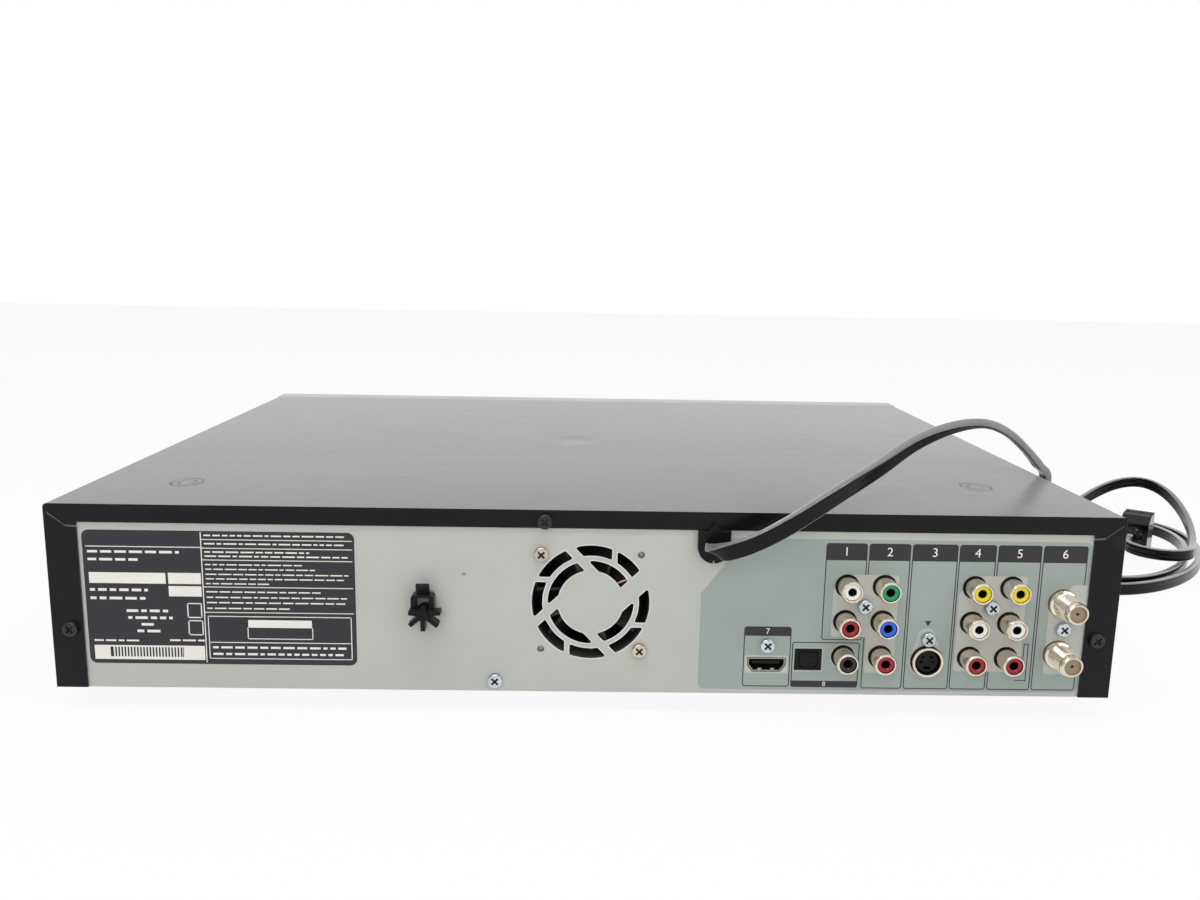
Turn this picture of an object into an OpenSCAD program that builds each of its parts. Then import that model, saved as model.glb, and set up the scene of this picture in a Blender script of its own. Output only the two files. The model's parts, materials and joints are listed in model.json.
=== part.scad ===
// Disc and cassette combination player, built as it comes apart on a bench.
// Millimetres. Z is up, the front faces -Y, the connector panel faces +Y.
// The origin is on the resting surface, in the middle of the body without its power cord.

/* [Case] */
// Width of the body over the cover
body_w = 430; // [350:1:520]
// Height of the body from the chassis floor to the cover top
body_h = 76.5; // [63:0.5:100]
// Depth of the sheet-metal body behind the front moulding
body_d = 318; // [262:1:400]
// Height of the feet
foot_h = 9; // [6:0.5:16]
// Diameter of one foot
foot_dia = 34; // [24:1:44]
// Thickness of the cover sheet
cover_t = 0.8; // [0.6:0.1:1.2]
// Bend radius of the cover, outside
cover_bend = 1.6; // [1.2:0.1:3]
// Thickness of the chassis floor sheet
pan_t = 1; // [0.8:0.1:1.4]
// Thickness of the connector panel sheet
panel_t = 0.8; // [0.6:0.1:1.2]
// Height of the cover's rear top flange
flange_top = 7.4; // [6:0.1:10]
// Width of the cover's rear side flanges
flange_side = 12.6; // [9:0.1:16]

/* [Front] */
// Depth of the front moulding
bezel_d = 17; // [15:0.5:24]
// Wall of the front moulding
bezel_wall = 2.2; // [1.8:0.1:3]
// Corner radius of the front moulding, seen from above
bezel_round = 6; // [3:0.5:10]
// Step back of the lower half of the front
lower_step = 1.2; // [0.8:0.1:2]
// Height of the tray's front strip
tray_front_h = 18; // [14:0.5:20]
// Width of the display window
window_w = 108; // [80:1:112]
// Height of the display window
window_h = 15; // [10:0.5:18]
// Travel of a push button
button_travel = 1; // [0.6:0.1:1.5]

/* [Disc drive] */
// Outer width of the disc drive's frame
drive_w = 148; // [146:1:156]
// Depth of the disc drive's frame
drive_d = 180; // [176:1:190]
// Diameter of a large disc
disc_dia = 120; // [118:1:122]
// Diameter of a small disc
small_disc_dia = 80; // [76:1:84]
// Travel of the disc tray
tray_travel = 138; // [120:1:142]
// Tooth size of the tray rack and gear, as pitch diameter per tooth
tray_tooth = 1; // [0.8:0.1:1.2]
// Teeth on the tray gear
tray_gear_teeth = 24; // [18:1:28]
// Travel of the pickup sled
sled_travel = 34; // [28:1:36]

/* [Cassette deck] */
// Width of a cassette
cassette_w = 188; // [186:0.5:190]
// Thickness of a cassette
cassette_h = 25.5; // [24:0.5:27]
// How far a cassette sinks onto the reels
cassette_drop = 18; // [15:1:20]
// Diameter of the head drum
drum_dia = 62; // [56:1:66]
// Tilt of the head drum in degrees
drum_tilt = 6; // [4:0.5:7]

/* [Fan] */
// Side of the square fan frame
fan_size = 50; // [45:1:52]
// Depth of the fan frame
fan_depth = 15; // [12:1:20]
// Distance between neighbouring fan screw holes
fan_pitch = 40; // [37:0.5:42]
// Number of fan blades
fan_blades = 7; // [5:1:9]

/* [Connectors] */
// Distance between neighbouring phono sockets in a row
phono_pitch_x = 15.2; // [14:0.1:16]
// Distance between the rows of phono sockets
phono_pitch_z = 15; // [14:0.1:16]
// Outer diameter of a phono socket shell
phono_dia = 8.3; // [8:0.1:8.6]
// How far a phono socket stands out of the panel
phono_reach = 8.5; // [7:0.1:10]
// Diameter of an aerial connector barrel
aerial_dia = 9.4; // [9:0.1:9.6]
// How far an aerial connector stands out of the panel
aerial_reach = 13.2; // [11:0.1:16]

/* [Power cord] */
// Width of the flat power cord
cord_w = 7; // [6:0.5:8]
// Thickness of the flat power cord
cord_t = 3.6; // [3:0.1:4]

/* [Hidden] */
$fn = 40;

// Clearances
slip = 0.3;      // between pieces that move or are dropped in
run = 0.05;      // radial, round a shaft
screw_r = 1.5;   // shank of every screw
screw_hole = 1.6;
eps = 0.01;

// Outer planes of the body
front_y = -(bezel_d + body_d + aerial_reach) / 2;
joint_y = front_y + bezel_d;
rear_y = joint_y + body_d;
base_z = foot_h;
top_z = base_z + body_h;
floor_z = base_z + pan_t;
roof_z = top_z - cover_t;
panel_out = rear_y - cover_t;
panel_in = panel_out - panel_t;
half_w = body_w / 2;
pan_half = half_w - cover_t - slip;
lip_h = 12;
rear_lip_h = 7;

// ---- small helpers
// Rounded rectangle, centred, from exact arcs
module round_rect(w, h, r) {
  square([w - 2 * r, h], center = true);
  square([w, h - 2 * r], center = true);
  for (sx = [-1, 1], sy = [-1, 1])
    translate([sx * (w / 2 - r), sy * (h / 2 - r)]) circle(r);
}

// Lays a 2D drawing of X and Z against the panel and gives it a depth towards +Y
module facing_rear(y, depth) {
  translate([0, y + depth, 0]) rotate([90, 0, 0]) linear_extrude(depth) children();
}

// A cylinder along +Y that starts at the given point
module rod_y(x, y, z, r, length, fn = 40) {
  translate([x, y, z]) rotate([-90, 0, 0]) cylinder(r = r, h = length, $fn = fn);
}

// A cylinder along X, centred on the given point
module rod_x(x, y, z, r, length, fn = 32) {
  translate([x, y, z]) rotate([0, 90, 0]) cylinder(r = r, h = length, center = true, $fn = fn);
}

module box(x0, x1, y0, y1, z0, z1) {
  translate([x0, y0, z0]) cube([x1 - x0, y1 - y0, z1 - z0]);
}

// Pan-head screw that points along -Z, with its head seated on z = 0
head_r = 3;
head_h = 2.1;
cross_w = 0.8;
cross_len = 3.6;
module screw(shank) {
  difference() {
    union() {
      rotate_extrude($fn = 28) difference() {
        union() {
          square([head_r - 0.6, head_h]);
          square([head_r, head_h - 0.6]);
          translate([head_r - 0.6, head_h - 0.6]) circle(0.6);
        }
      }
      translate([0, 0, -shank]) cylinder(r = screw_r, h = shank + eps, $fn = 20);
    }
    for (a = [45, 135]) rotate(a)
      translate([-cross_len / 2, -cross_w / 2, head_h - 1.2]) cube([cross_len, cross_w, 2]);
  }
}

// ---- gear drawings
tooth_gap = 0.16; // how much thinner a tooth is than its share of the pitch
// Angle on an involute where it reaches radius r, from base radius rb
function involute_angle(r, rb) =
  r <= rb ? 0 : sqrt(r * r / (rb * rb) - 1) * 180 / PI - acos(rb / r);

// One flank of a gear tooth as points from root to tip
function flank(rp, ro, rr, half, side) =
  let (rb = rp * cos(20), a0 = involute_angle(rp, rb))
  [for (k = [0 : 4]) let (
    r = max(rr, rb) + (ro - max(rr, rb)) * k / 4,
    a = half + a0 - involute_angle(r, rb)
  ) r * [cos(side * a), sin(side * a)]];

module gear_2d(m, teeth) {
  rp = m * teeth / 2;
  ro = rp + 0.9 * m;
  rr = rp - 1.2 * m;
  half = 90 / teeth - tooth_gap / 2 / rp * 180 / PI;
  root_half = half + involute_angle(rp, rp * cos(20));
  up = flank(rp, ro, rr, half, -1);
  down = flank(rp, ro, rr, half, 1);
  tooth = concat(
    [rr * [cos(root_half), -sin(root_half)]], up,
    [for (k = [4 : -1 : 0]) down[k]],
    [rr * [cos(root_half), sin(root_half)]]
  );
  polygon([for (i = [0 : teeth - 1], p = tooth) let (a = i * 360 / teeth)
    [p[0] * cos(a) - p[1] * sin(a), p[0] * sin(a) + p[1] * cos(a)]]);
}

// Rack with its pitch line on x = 0, teeth to +X, a gap centred on y = 0
module rack_2d(m, count, back) {
  pitch = PI * m;
  half = pitch / 4 - tooth_gap / 2;
  lean = tan(20);
  teeth = [for (i = [0 : count - 1]) let (y = (i + 0.5) * pitch) each [
    [-1.2 * m, y - half - 1.2 * m * lean], [0.9 * m, y - half + 0.9 * m * lean],
    [0.9 * m, y + half - 0.9 * m * lean], [-1.2 * m, y + half + 1.2 * m * lean]
  ]];
  polygon(concat([[-1.2 * m - back, 0]], [[-1.2 * m, 0]], teeth,
    [[-1.2 * m, count * pitch], [-1.2 * m - back, count * pitch]]));
}

// ---- places on the rear panel
fan_x = -0.8;
fan_z = base_z + body_h / 2;
phono_row = base_z + 16.5;
phono_rows = [phono_row, phono_row + phono_pitch_z, phono_row + 2 * phono_pitch_z];
av_x = -half_w + 110.8;
line_x = -half_w + 59;
phono_cols = [av_x, av_x - phono_pitch_x, line_x, line_x - phono_pitch_x];
aerial_x = -half_w + 22.6;
aerial_zs = [base_z + 18.4, base_z + 40.2];
svideo_x = -half_w + 76.3;
svideo_z = base_z + 14.9;
hdmi_x = -half_w + 142;
hdmi_z = base_z + 12.6;
hdmi_w = 15.2;
hdmi_h = 5.6;
optical_x = -half_w + 125;
optical_z = base_z + 15;
optical_w = 10.7;
optical_h = 8.8;
bush_x = fan_x - 48.8;
bush_z = top_z - 13.6;
clip_x = fan_x + 66.5;
clip_z = fan_z - 3.4;
// Screws: x and z
panel_screw_places = [
  [(phono_cols[0] + phono_cols[1]) / 2, phono_rows[1] + 6.6],
  [(phono_cols[2] + phono_cols[3]) / 2, phono_rows[1] + 6.6],
  [aerial_x - 1.1, (aerial_zs[0] + aerial_zs[1]) / 2],
  [svideo_x, svideo_z + 9.5],
  [hdmi_x, hdmi_z + 8.5],
  [fan_x + 38.5, base_z + 4.7]
];
fan_screw_places = [
  [fan_x + fan_pitch / 2, fan_z + fan_pitch / 2],
  [fan_x - fan_pitch / 2, fan_z - fan_pitch / 2]
];
fan_dimples = [
  [fan_x - fan_pitch / 2, fan_z + fan_pitch / 2],
  [fan_x + fan_pitch / 2, fan_z - fan_pitch / 2]
];
flange_screw_places = [
  [fan_x + 18.6, top_z - 4.6],
  [half_w - 7.8, base_z + 25],
  [-half_w + 7.8, base_z + 25]
];
side_screw_ys = [joint_y + 40, rear_y - 40];
side_screw_z = base_z + 7;

// ---- chassis floor
board_z = floor_z + 6;     // underside of the circuit boards
board_t = 1.6;
post_r = 3;
deck_back = joint_y + 206;
drive_back = joint_y + 3 + drive_d;
main_x0 = -half_w + 8;
main_x1 = fan_x - fan_size / 2 - 5;
main_y0 = drive_back + 4;
power_x0 = fan_x + fan_size / 2 + 6;
power_x1 = half_w - 12;
power_y0 = deck_back + 4;
board_y1 = panel_in - pan_t - 2;
foot_inset = 42;
foot_places = [for (sx = [-1, 1], y = [joint_y + foot_inset, rear_y - foot_inset])
  [sx * (half_w - foot_inset), y]];

function board_posts(x0, x1, y0, y1) =
  [for (x = [x0 + 6, x1 - 6], y = [y0 + 6, y1 - 6]) [x, y]];
all_posts = concat(board_posts(main_x0, main_x1, main_y0, board_y1),
  board_posts(power_x0, power_x1, power_y0, board_y1));

vent_len = 34;
vent_gap = 9;
module chassis_pan() {
  color("silver") difference() {
    union() {
      box(-pan_half, pan_half, joint_y + 0.5, panel_in, base_z, floor_z);
      for (sx = [-1, 1])
        translate([sx * (pan_half - pan_t / 2), (joint_y + 0.5 + panel_in) / 2, base_z + lip_h / 2])
          cube([pan_t, panel_in - joint_y - 0.5, lip_h], center = true);
      box(-pan_half, pan_half, panel_in - pan_t, panel_in, base_z, base_z + rear_lip_h);
      for (p = all_posts) translate([p[0], p[1], floor_z - eps])
        cylinder(r = post_r, h = board_z - floor_z + eps, $fn = 24);
    }
    for (sx = [-1, 1], k = [-4 : 4])
      translate([sx * body_w * 0.2 + k * vent_gap, joint_y + body_d * 0.62, base_z - 1])
        linear_extrude(pan_t + 2) round_rect(3, vent_len, 1.4);
    for (p = foot_places) translate([p[0], p[1], base_z - 1])
      cylinder(r = screw_hole, h = pan_t + 2, $fn = 20);
    for (p = [panel_screw_places[5]])
      rod_y(p[0], panel_in - pan_t - 1, p[1], screw_hole, pan_t + 2, 20);
    for (y = side_screw_ys) rod_x(0, y, side_screw_z, screw_hole, body_w, 20);
  }
}

module feet() {
  pad = 1.5;
  color("dimgray") for (p = foot_places) translate([p[0], p[1], 0]) {
    rotate_extrude($fn = 40) difference() {
      polygon([[0, 0.8], [foot_dia / 2 - 6, 0.8], [foot_dia / 2 - 5.2, 0],
        [foot_dia / 2 - pad - 0.8, 0], [foot_dia / 2 - pad, 0.8], [foot_dia / 2, foot_h - 2],
        [foot_dia / 2, foot_h], [0, foot_h]]);
      translate([0, -1]) square([2.6, foot_h - 2]);
    }
  }
}

// ---- rear panel
// Slots in front of the fan, drawn as seen from behind
slot_out = 23.8;
slot_mid_out = 19.5;
slot_mid_in = 17.4;
slot_in = 13.3;
strut_w = 3.7;
strut_off = 9.25;
broad_strut_w = 7.8;
broad_strut_off = 7.7;
short_strut_w = 2.1;
short_strut_off = 9.4;
module fan_slots() {
  offset(r = 0.7) offset(delta = -0.7) difference() {
    union() {
      difference() {
        circle(slot_out, $fn = 72);
        circle(slot_mid_out, $fn = 72);
      }
      difference() {
        circle(slot_mid_in, $fn = 60);
        circle(slot_in, $fn = 48);
      }
    }
    for (k = [0 : 3]) rotate(-90 * k) {
      w = k == 3 ? broad_strut_w : strut_w;
      off = k == 3 ? broad_strut_off : strut_off;
      rotate(-46) translate([0, -off - w / 2]) square([slot_out + 4, w]);
      translate([-short_strut_off - short_strut_w / 2, -slot_out - 2])
        square([short_strut_w, slot_out - slot_mid_in + 3]);
    }
  }
}

module panel_outline() {
  translate([-pan_half, base_z]) square([2 * pan_half, body_h - cover_t - slip]);
}

module panel_sheet() {
  facing_rear(panel_in, panel_t) difference() {
    panel_outline();
    translate([fan_x, fan_z]) mirror([1, 0]) fan_slots();
    translate([bush_x, bush_z + 2]) round_rect(10.8, 14, 5);
    translate([bush_x - 5.4, bush_z + 2]) square([10.8, 30]);
    translate([hdmi_x, hdmi_z]) offset(delta = 0.3) hdmi_outline(0);
    translate([optical_x, optical_z]) square([optical_w + 0.4, optical_h + 0.4], center = true);
  }
}

module rear_panel() {
  color([0.75, 0.76, 0.72]) difference() {
    union() {
      panel_sheet();
      for (p = fan_dimples) rod_y(p[0], panel_in - 1.2, p[1], 1.7, 1.3, 24);
    }
    for (x = phono_cols, z = phono_rows)
      rod_y(x, panel_in - 1, z, phono_dia / 2 + 0.7, panel_t + 2, 32);
    for (z = aerial_zs) rod_y(aerial_x, panel_in - 1, z, aerial_dia / 2 + 1.3, panel_t + 2, 36);
    rod_y(svideo_x, panel_in - 1, svideo_z, 6.6, panel_t + 2, 36);
    for (p = concat(panel_screw_places, fan_screw_places, flange_screw_places))
      rod_y(p[0], panel_in - 1, p[1], screw_hole, panel_t + 2, 20);
    for (p = fan_dimples) translate([p[0], panel_in - 0.6, p[1]]) rotate([-90, 0, 0])
      cylinder(r1 = 0.8, r2 = 1.7, h = 2, $fn = 24);
    rod_y(clip_x, panel_in - 1, clip_z, 2.3, panel_t + 2, 24);
  }
}

// ---- top cover
side_slot_count = 12;
side_slot_pitch = 8;
module cover_section(w, h, r) {
  translate([-w / 2, 0]) square([w, h - r]);
  translate([-w / 2 + r, 0]) square([w - 2 * r, h]);
  for (sx = [-1, 1]) translate([sx * (w / 2 - r), h - r]) circle(r, $fn = 32);
}

// Slit where two flanges meet
module mitre_slit() {
  slit = 0.6;
  polygon([[half_w + 1, top_z - 1.6], [half_w - 8.1, top_z - 8.6], [half_w - flange_side - 1, top_z - 8.9],
    [half_w - flange_side - 1, top_z - 8.9 - slit], [half_w - 8.1, top_z - 8.6 - slit],
    [half_w + 1, top_z - 1.6 - slit * 1.4]]);
}

module top_cover() {
  color([0.13, 0.13, 0.15]) difference() {
    union() {
      difference() {
        facing_rear(joint_y, body_d) translate([0, base_z]) cover_section(body_w, body_h, cover_bend);
        facing_rear(joint_y - 1, body_d + 2) translate([0, base_z - 1])
          cover_section(body_w - 2 * cover_t, body_h - cover_t + 1, cover_bend - cover_t);
      }
      facing_rear(rear_y - cover_t, cover_t) difference() {
        translate([0, base_z]) cover_section(body_w - cover_t, body_h - cover_t / 2, cover_bend);
        translate([-half_w + flange_side, base_z - 1])
          square([body_w - 2 * flange_side, body_h - flange_top + 1]);
        for (m = [0, 1]) mirror([m, 0]) mitre_slit();
      }
    }
    for (k = [0 : side_slot_count - 1])
      rod_slot(joint_y + body_d * 0.45 + k * side_slot_pitch);
    for (y = side_screw_ys) rod_x(0, y, side_screw_z, screw_hole, body_w + 10, 20);
    for (p = flange_screw_places) rod_y(p[0], rear_y - cover_t - 1, p[1], screw_hole, cover_t + 2, 20);
  }
}

// One cooling slot through both sides of the cover
slot_h = 20;
slot_w = 2.6;
module rod_slot(y) {
  z = base_z + body_h * 0.55;
  translate([-half_w - 1, y, z]) rotate([90, 0, 90])
    linear_extrude(body_w + 2) round_rect(slot_w, slot_h, slot_w / 2 - 0.05);
}

module cover_screws() {
  color([0.1, 0.1, 0.1]) {
    for (p = flange_screw_places) translate([p[0], rear_y, p[1]]) rotate([-90, 0, 0]) screw(6);
    for (sx = [-1, 1], y = side_screw_ys)
      translate([sx * half_w, y, side_screw_z]) rotate([0, sx * 90, 0]) screw(4);
  }
}

module panel_screws() {
  color("lightgray") for (p = concat(panel_screw_places, fan_screw_places))
    translate([p[0], panel_out, p[1]]) rotate([-90, 0, 0]) screw(6);
}

// ---- fan
fan_duct_r = fan_size / 2 - 1.6;
fan_hub_r = 12;
fan_blade_r = fan_duct_r - 1;
module fan_frame() {
  y0 = panel_in - fan_depth;
  color([0.12, 0.12, 0.12]) difference() {
    union() {
      facing_rear(y0, fan_depth) difference() {
        translate([fan_x, fan_z]) round_rect(fan_size, fan_size, 3);
        translate([fan_x, fan_z]) circle(fan_duct_r, $fn = 64);
      }
      rod_y(fan_x, panel_in - 3, fan_z, fan_hub_r - 1, 2.5);
      for (a = [20, 110, 200, 290]) translate([fan_x, panel_in - 1.8, fan_z]) rotate([0, a, 0])
        translate([fan_hub_r - 3, -1, -1]) cube([fan_duct_r - fan_hub_r + 4, 2, 2]);
    }
    for (p = fan_screw_places) rod_y(p[0], y0 - 1, p[1], screw_hole, fan_depth + 2, 20);
    for (p = fan_dimples) rod_y(p[0], y0 - 1, p[1], 2, fan_depth + 2, 20);
    rod_y(fan_x, panel_in - 4, fan_z, 1.5 + run, 6, 24);
    // Waist between the frame's square ends
    for (sx = [-1, 1], sz = [-1, 1])
      translate([fan_x + sx * fan_size / 2, y0 + fan_depth / 2, fan_z + sz * fan_size / 2])
        cube([13, fan_depth - 6, 13], center = true);
  }
}

module fan_rotor() {
  y0 = panel_in - fan_depth + 1;
  y1 = panel_in - 3 - slip;
  color([0.2, 0.2, 0.2]) union() {
    difference() {
      rod_y(fan_x, y0, fan_z, fan_hub_r, y1 - y0);
      rod_y(fan_x, y0 + 1.2, fan_z, fan_hub_r - 1.2, y1 - y0);
    }
    rod_y(fan_x, y0, fan_z, 1.5, panel_in - 1 - y0, 24);
    intersection() {
      difference() {
        rod_y(fan_x, y0, fan_z, fan_blade_r, y1 - y0, 64);
        rod_y(fan_x, y0 - 1, fan_z, fan_hub_r - 0.5, y1 - y0 + 2);
      }
      for (k = [0 : fan_blades - 1])
        translate([fan_x, (y0 + y1) / 2, fan_z]) rotate([0, k * 360 / fan_blades, 0]) rotate([38, 0, 0])
          translate([0, -9, -0.5]) cube([fan_blade_r + 2, 18, 1]);
    }
  }
}

// ---- rear connectors
module phono_shell(x, z) {
  r = phono_dia / 2;
  translate([x, panel_in, z]) rotate([-90, 0, 0]) rotate_extrude($fn = 36) {
    reach = rear_y - panel_in + phono_reach;
    polygon([[r - 0.7, 0], [r, 0], [r, reach - 1.8], [r + 0.25, reach - 1.5], [r + 0.25, reach - 0.5],
      [r - 0.1, reach], [r - 0.6, reach], [r - 0.7, reach - 0.3]]);
  }
}

module phono_insert(x, z) {
  r = phono_dia / 2 - 0.7 - 0.05;
  reach = rear_y - panel_in + phono_reach - 0.5;
  translate([x, panel_in, z]) rotate([-90, 0, 0]) rotate_extrude($fn = 32)
    polygon([[0, 0], [r, 0], [r, reach - 0.3], [r - 0.3, reach], [2, reach], [1.7, reach - 0.4],
      [1.7, 1.2], [0, 1.2]]);
}

module jack_shells() {
  color([0.78, 0.75, 0.68]) for (x = phono_cols, z = phono_rows) phono_shell(x, z);
}

module inserts_white() {
  color("white") {
    phono_insert(phono_cols[0], phono_rows[2]);
    phono_insert(phono_cols[2], phono_rows[1]);
    phono_insert(phono_cols[3], phono_rows[1]);
  }
}

module inserts_red() {
  color([0.6, 0.08, 0.1]) {
    phono_insert(phono_cols[0], phono_rows[1]);
    for (c = [1, 2, 3]) phono_insert(phono_cols[c], phono_rows[0]);
  }
}

module inserts_yellow() {
  color([0.9, 0.82, 0.05]) for (c = [2, 3]) phono_insert(phono_cols[c], phono_rows[2]);
}

module insert_green() {
  color([0.05, 0.5, 0.3]) phono_insert(phono_cols[1], phono_rows[2]);
}

module insert_blue() {
  color([0.1, 0.3, 0.8]) phono_insert(phono_cols[1], phono_rows[1]);
}

module insert_black() {
  color([0.08, 0.08, 0.08]) phono_insert(phono_cols[0], phono_rows[0]);
}

housing_d = 12;
board_top = board_z + board_t;
module jack_housings() {
  color([0.1, 0.1, 0.1]) for (pair = [[0, 1], [2, 3]]) {
    x0 = phono_cols[pair[1]] - 7;
    x1 = phono_cols[pair[0]] + 7;
    difference() {
      box(x0, x1, panel_in - housing_d, panel_in, board_top, phono_rows[2] + 6.5);
      translate([(x0 + x1) / 2, panel_in - housing_d, 0])
        box(-2, 2, -1, housing_d - 4, board_top - 1, phono_rows[2] + 8);
      for (p = panel_screw_places) rod_y(p[0], panel_in - 8, p[1], screw_hole, 9, 20);
    }
  }
}

module svideo_socket() {
  color([0.08, 0.08, 0.08]) difference() {
    union() {
      rod_y(svideo_x, panel_in - 1, svideo_z, 6.3, rear_y - panel_in + 1.6);
      translate([svideo_x, panel_in - 6.5, (svideo_z + 7 + board_top) / 2])
        cube([14, 13, svideo_z + 7 - board_top], center = true);
    }
    difference() {
      rod_y(svideo_x, panel_in - 3, svideo_z, 5.3, 8);
      rod_y(svideo_x, panel_in - 4, svideo_z, 4.4, 4 + rear_y - panel_in);
    }
    for (p = [[-2.4, -0.2], [2.4, -0.2], [-1.7, 1.9], [1.7, 1.9]])
      rod_y(svideo_x + p[0], panel_in - 3, svideo_z + p[1], 0.55, 8, 16);
    translate([svideo_x - 1.3, panel_in - 3, svideo_z - 3.4]) cube([2.6, 8, 1.3]);
    rod_y(panel_screw_places[3][0], panel_in - 8, panel_screw_places[3][1], screw_hole, 9, 20);
  }
}

// A socket's mouth whose lower corners are cut back
module cut_outline(w, h, cx, cz) {
  polygon([[-w / 2, h / 2], [w / 2, h / 2], [w / 2, -h / 2 + cz], [w / 2 - cx, -h / 2],
    [-w / 2 + cx, -h / 2], [-w / 2, -h / 2 + cz]]);
}

module hdmi_outline(inset) {
  offset(delta = -inset) cut_outline(hdmi_w, hdmi_h, 2.1, 2.6);
}

module hdmi_socket() {
  front = panel_out - 0.2;
  low_z = hdmi_z - hdmi_h / 2 + 0.3;
  color([0.7, 0.66, 0.55]) {
    difference() {
      union() {
        facing_rear(panel_in - 11, front - panel_in + 11) translate([hdmi_x, hdmi_z]) hdmi_outline(0);
        box(hdmi_x - 6, hdmi_x + 6, panel_in - 11, panel_in - 2, board_top, hdmi_z);
      }
      facing_rear(panel_in - 8, 20) translate([hdmi_x, hdmi_z]) hdmi_outline(0.4);
    }
    // Two spring fingers in the shell
    for (sx = [-1, 1])
      box(hdmi_x + sx * 2.6 - 0.8, hdmi_x + sx * 2.6 + 0.8, panel_in - 5, front - 0.3,
        low_z, low_z + 0.8);
  }
  color([0.1, 0.1, 0.1]) box(hdmi_x - 5.6, hdmi_x + 5.6, panel_in - 8.2, front - 0.6,
    hdmi_z + 0.1, hdmi_z + 1.4);
}

shutter_w = 7.2;
shutter_h = 6.6;
shutter_r = 0.75;
shutter_axis_y = panel_out - 0.2;
shutter_axis_z = optical_z + shutter_h / 2 - shutter_r;
shutter_cut = 1.4;
module optical_jack() {
  front = rear_y - 0.3;
  color([0.1, 0.1, 0.1]) difference() {
    union() {
      box(optical_x - optical_w / 2, optical_x + optical_w / 2, panel_in - 10, front,
        optical_z - optical_h / 2, optical_z + optical_h / 2);
      box(optical_x - 4, optical_x + 4, panel_in - 10, panel_in - 1, board_top,
        optical_z - optical_h / 2 + eps);
    }
    facing_rear(panel_in - 8, 16) translate([optical_x, optical_z])
      cut_outline(shutter_w + 0.6, shutter_h + 0.7, shutter_cut, shutter_cut);
    rod_x(optical_x, shutter_axis_y, shutter_axis_z, 0.45 + run, shutter_w + 2.2, 20);
  }
}

module optical_shutter() {
  color([0.16, 0.16, 0.17]) difference() {
    union() {
      rod_x(optical_x, shutter_axis_y, shutter_axis_z, shutter_r, shutter_w, 24);
      rod_x(optical_x, shutter_axis_y, shutter_axis_z, 0.45, shutter_w + 2, 20);
      facing_rear(shutter_axis_y - 0.25, shutter_r + 0.25)
        translate([optical_x, optical_z - shutter_r / 2])
        cut_outline(shutter_w, shutter_h - shutter_r, shutter_cut, shutter_cut);
    }
    box(optical_x - 2.4, optical_x + 2.4, shutter_axis_y + shutter_r - 0.25, shutter_axis_y + 2,
      optical_z - 1.6, optical_z - 1.2);
    box(optical_x - 2.8, optical_x + 2.8, shutter_axis_y + shutter_r - 0.25, shutter_axis_y + 2,
      optical_z + 0.9, optical_z + 1.3);
  }
}

tuner_x0 = -half_w + 10;
tuner_x1 = phono_cols[3] - 9;
tuner_d = 30;
module tuner_box() {
  color([0.75, 0.74, 0.7]) {
    difference() {
      union() {
        box(tuner_x0, tuner_x1, panel_in - tuner_d, panel_in, board_top, aerial_zs[1] + 10);
        for (z = aerial_zs) translate([aerial_x, panel_in - eps, z]) rotate([-90, 0, 0]) aerial_barrel();
      }
      for (z = aerial_zs) rod_y(aerial_x, rear_y + aerial_reach - 6, z, aerial_dia / 2 - 1.3, 8, 28);
      rod_y(panel_screw_places[2][0], panel_in - 8, panel_screw_places[2][1], screw_hole, 9, 20);
    }
  }
  color([0.75, 0.68, 0.55]) for (z = aerial_zs) difference() {
    rod_y(aerial_x, rear_y + aerial_reach - 6, z, aerial_dia / 2 - 1.3, 5.2, 28);
    rod_y(aerial_x, rear_y + aerial_reach - 5, z, 0.7, 8, 16);
  }
}

module aerial_barrel() {
  r = aerial_dia / 2;
  reach = rear_y - panel_in + aerial_reach;
  rotate_extrude($fn = 40) polygon([[0, 0], [r + 1, 0], [r + 1, 2.6], [r, 3], [r, reach - 1.4],
    [r - 0.5, reach - 0.3], [r - 0.9, reach], [0, reach]]);
}

// ---- cord clip and strain relief
module cord_clip() {
  y = panel_out;
  color([0.07, 0.07, 0.07]) {
    // Barbed stem through the panel, and the open loop over it
    rod_y(clip_x, panel_in - 3, clip_z, 2, 3 + panel_t + eps, 24);
    rod_y(clip_x, panel_in - 2.6, clip_z, 2.25, 1.6, 24);
    facing_rear(y, 5) translate([clip_x + 0.5, clip_z + 3.2]) difference() {
      round_rect(9.2, 8, 1.6);
      translate([0, 0.35]) round_rect(5.2, 5, 0.8);
    }
    // Springy tab on the loop
    translate([clip_x, y + 4, clip_z + 6.9]) rotate([-30, 0, 0])
      translate([-2.65, -0.7, -0.4]) cube([5.3, 1.4, 6.5]);
    // Round boss, its foot and five prongs: direction, reach
    rod_y(clip_x, y, clip_z, 2.3, 9, 32);
    rod_y(clip_x, y, clip_z, 2.8, 1.4, 32);
    facing_rear(y + 3, 4.6) translate([clip_x, clip_z])
      for (p = [[-6, 5.7], [42, 7], [90, 6.9], [141, 7.6], [186, 7]])
        rotate(-p[0]) translate([0, -0.9]) square([p[1], 1.8]);
  }
}

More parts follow.
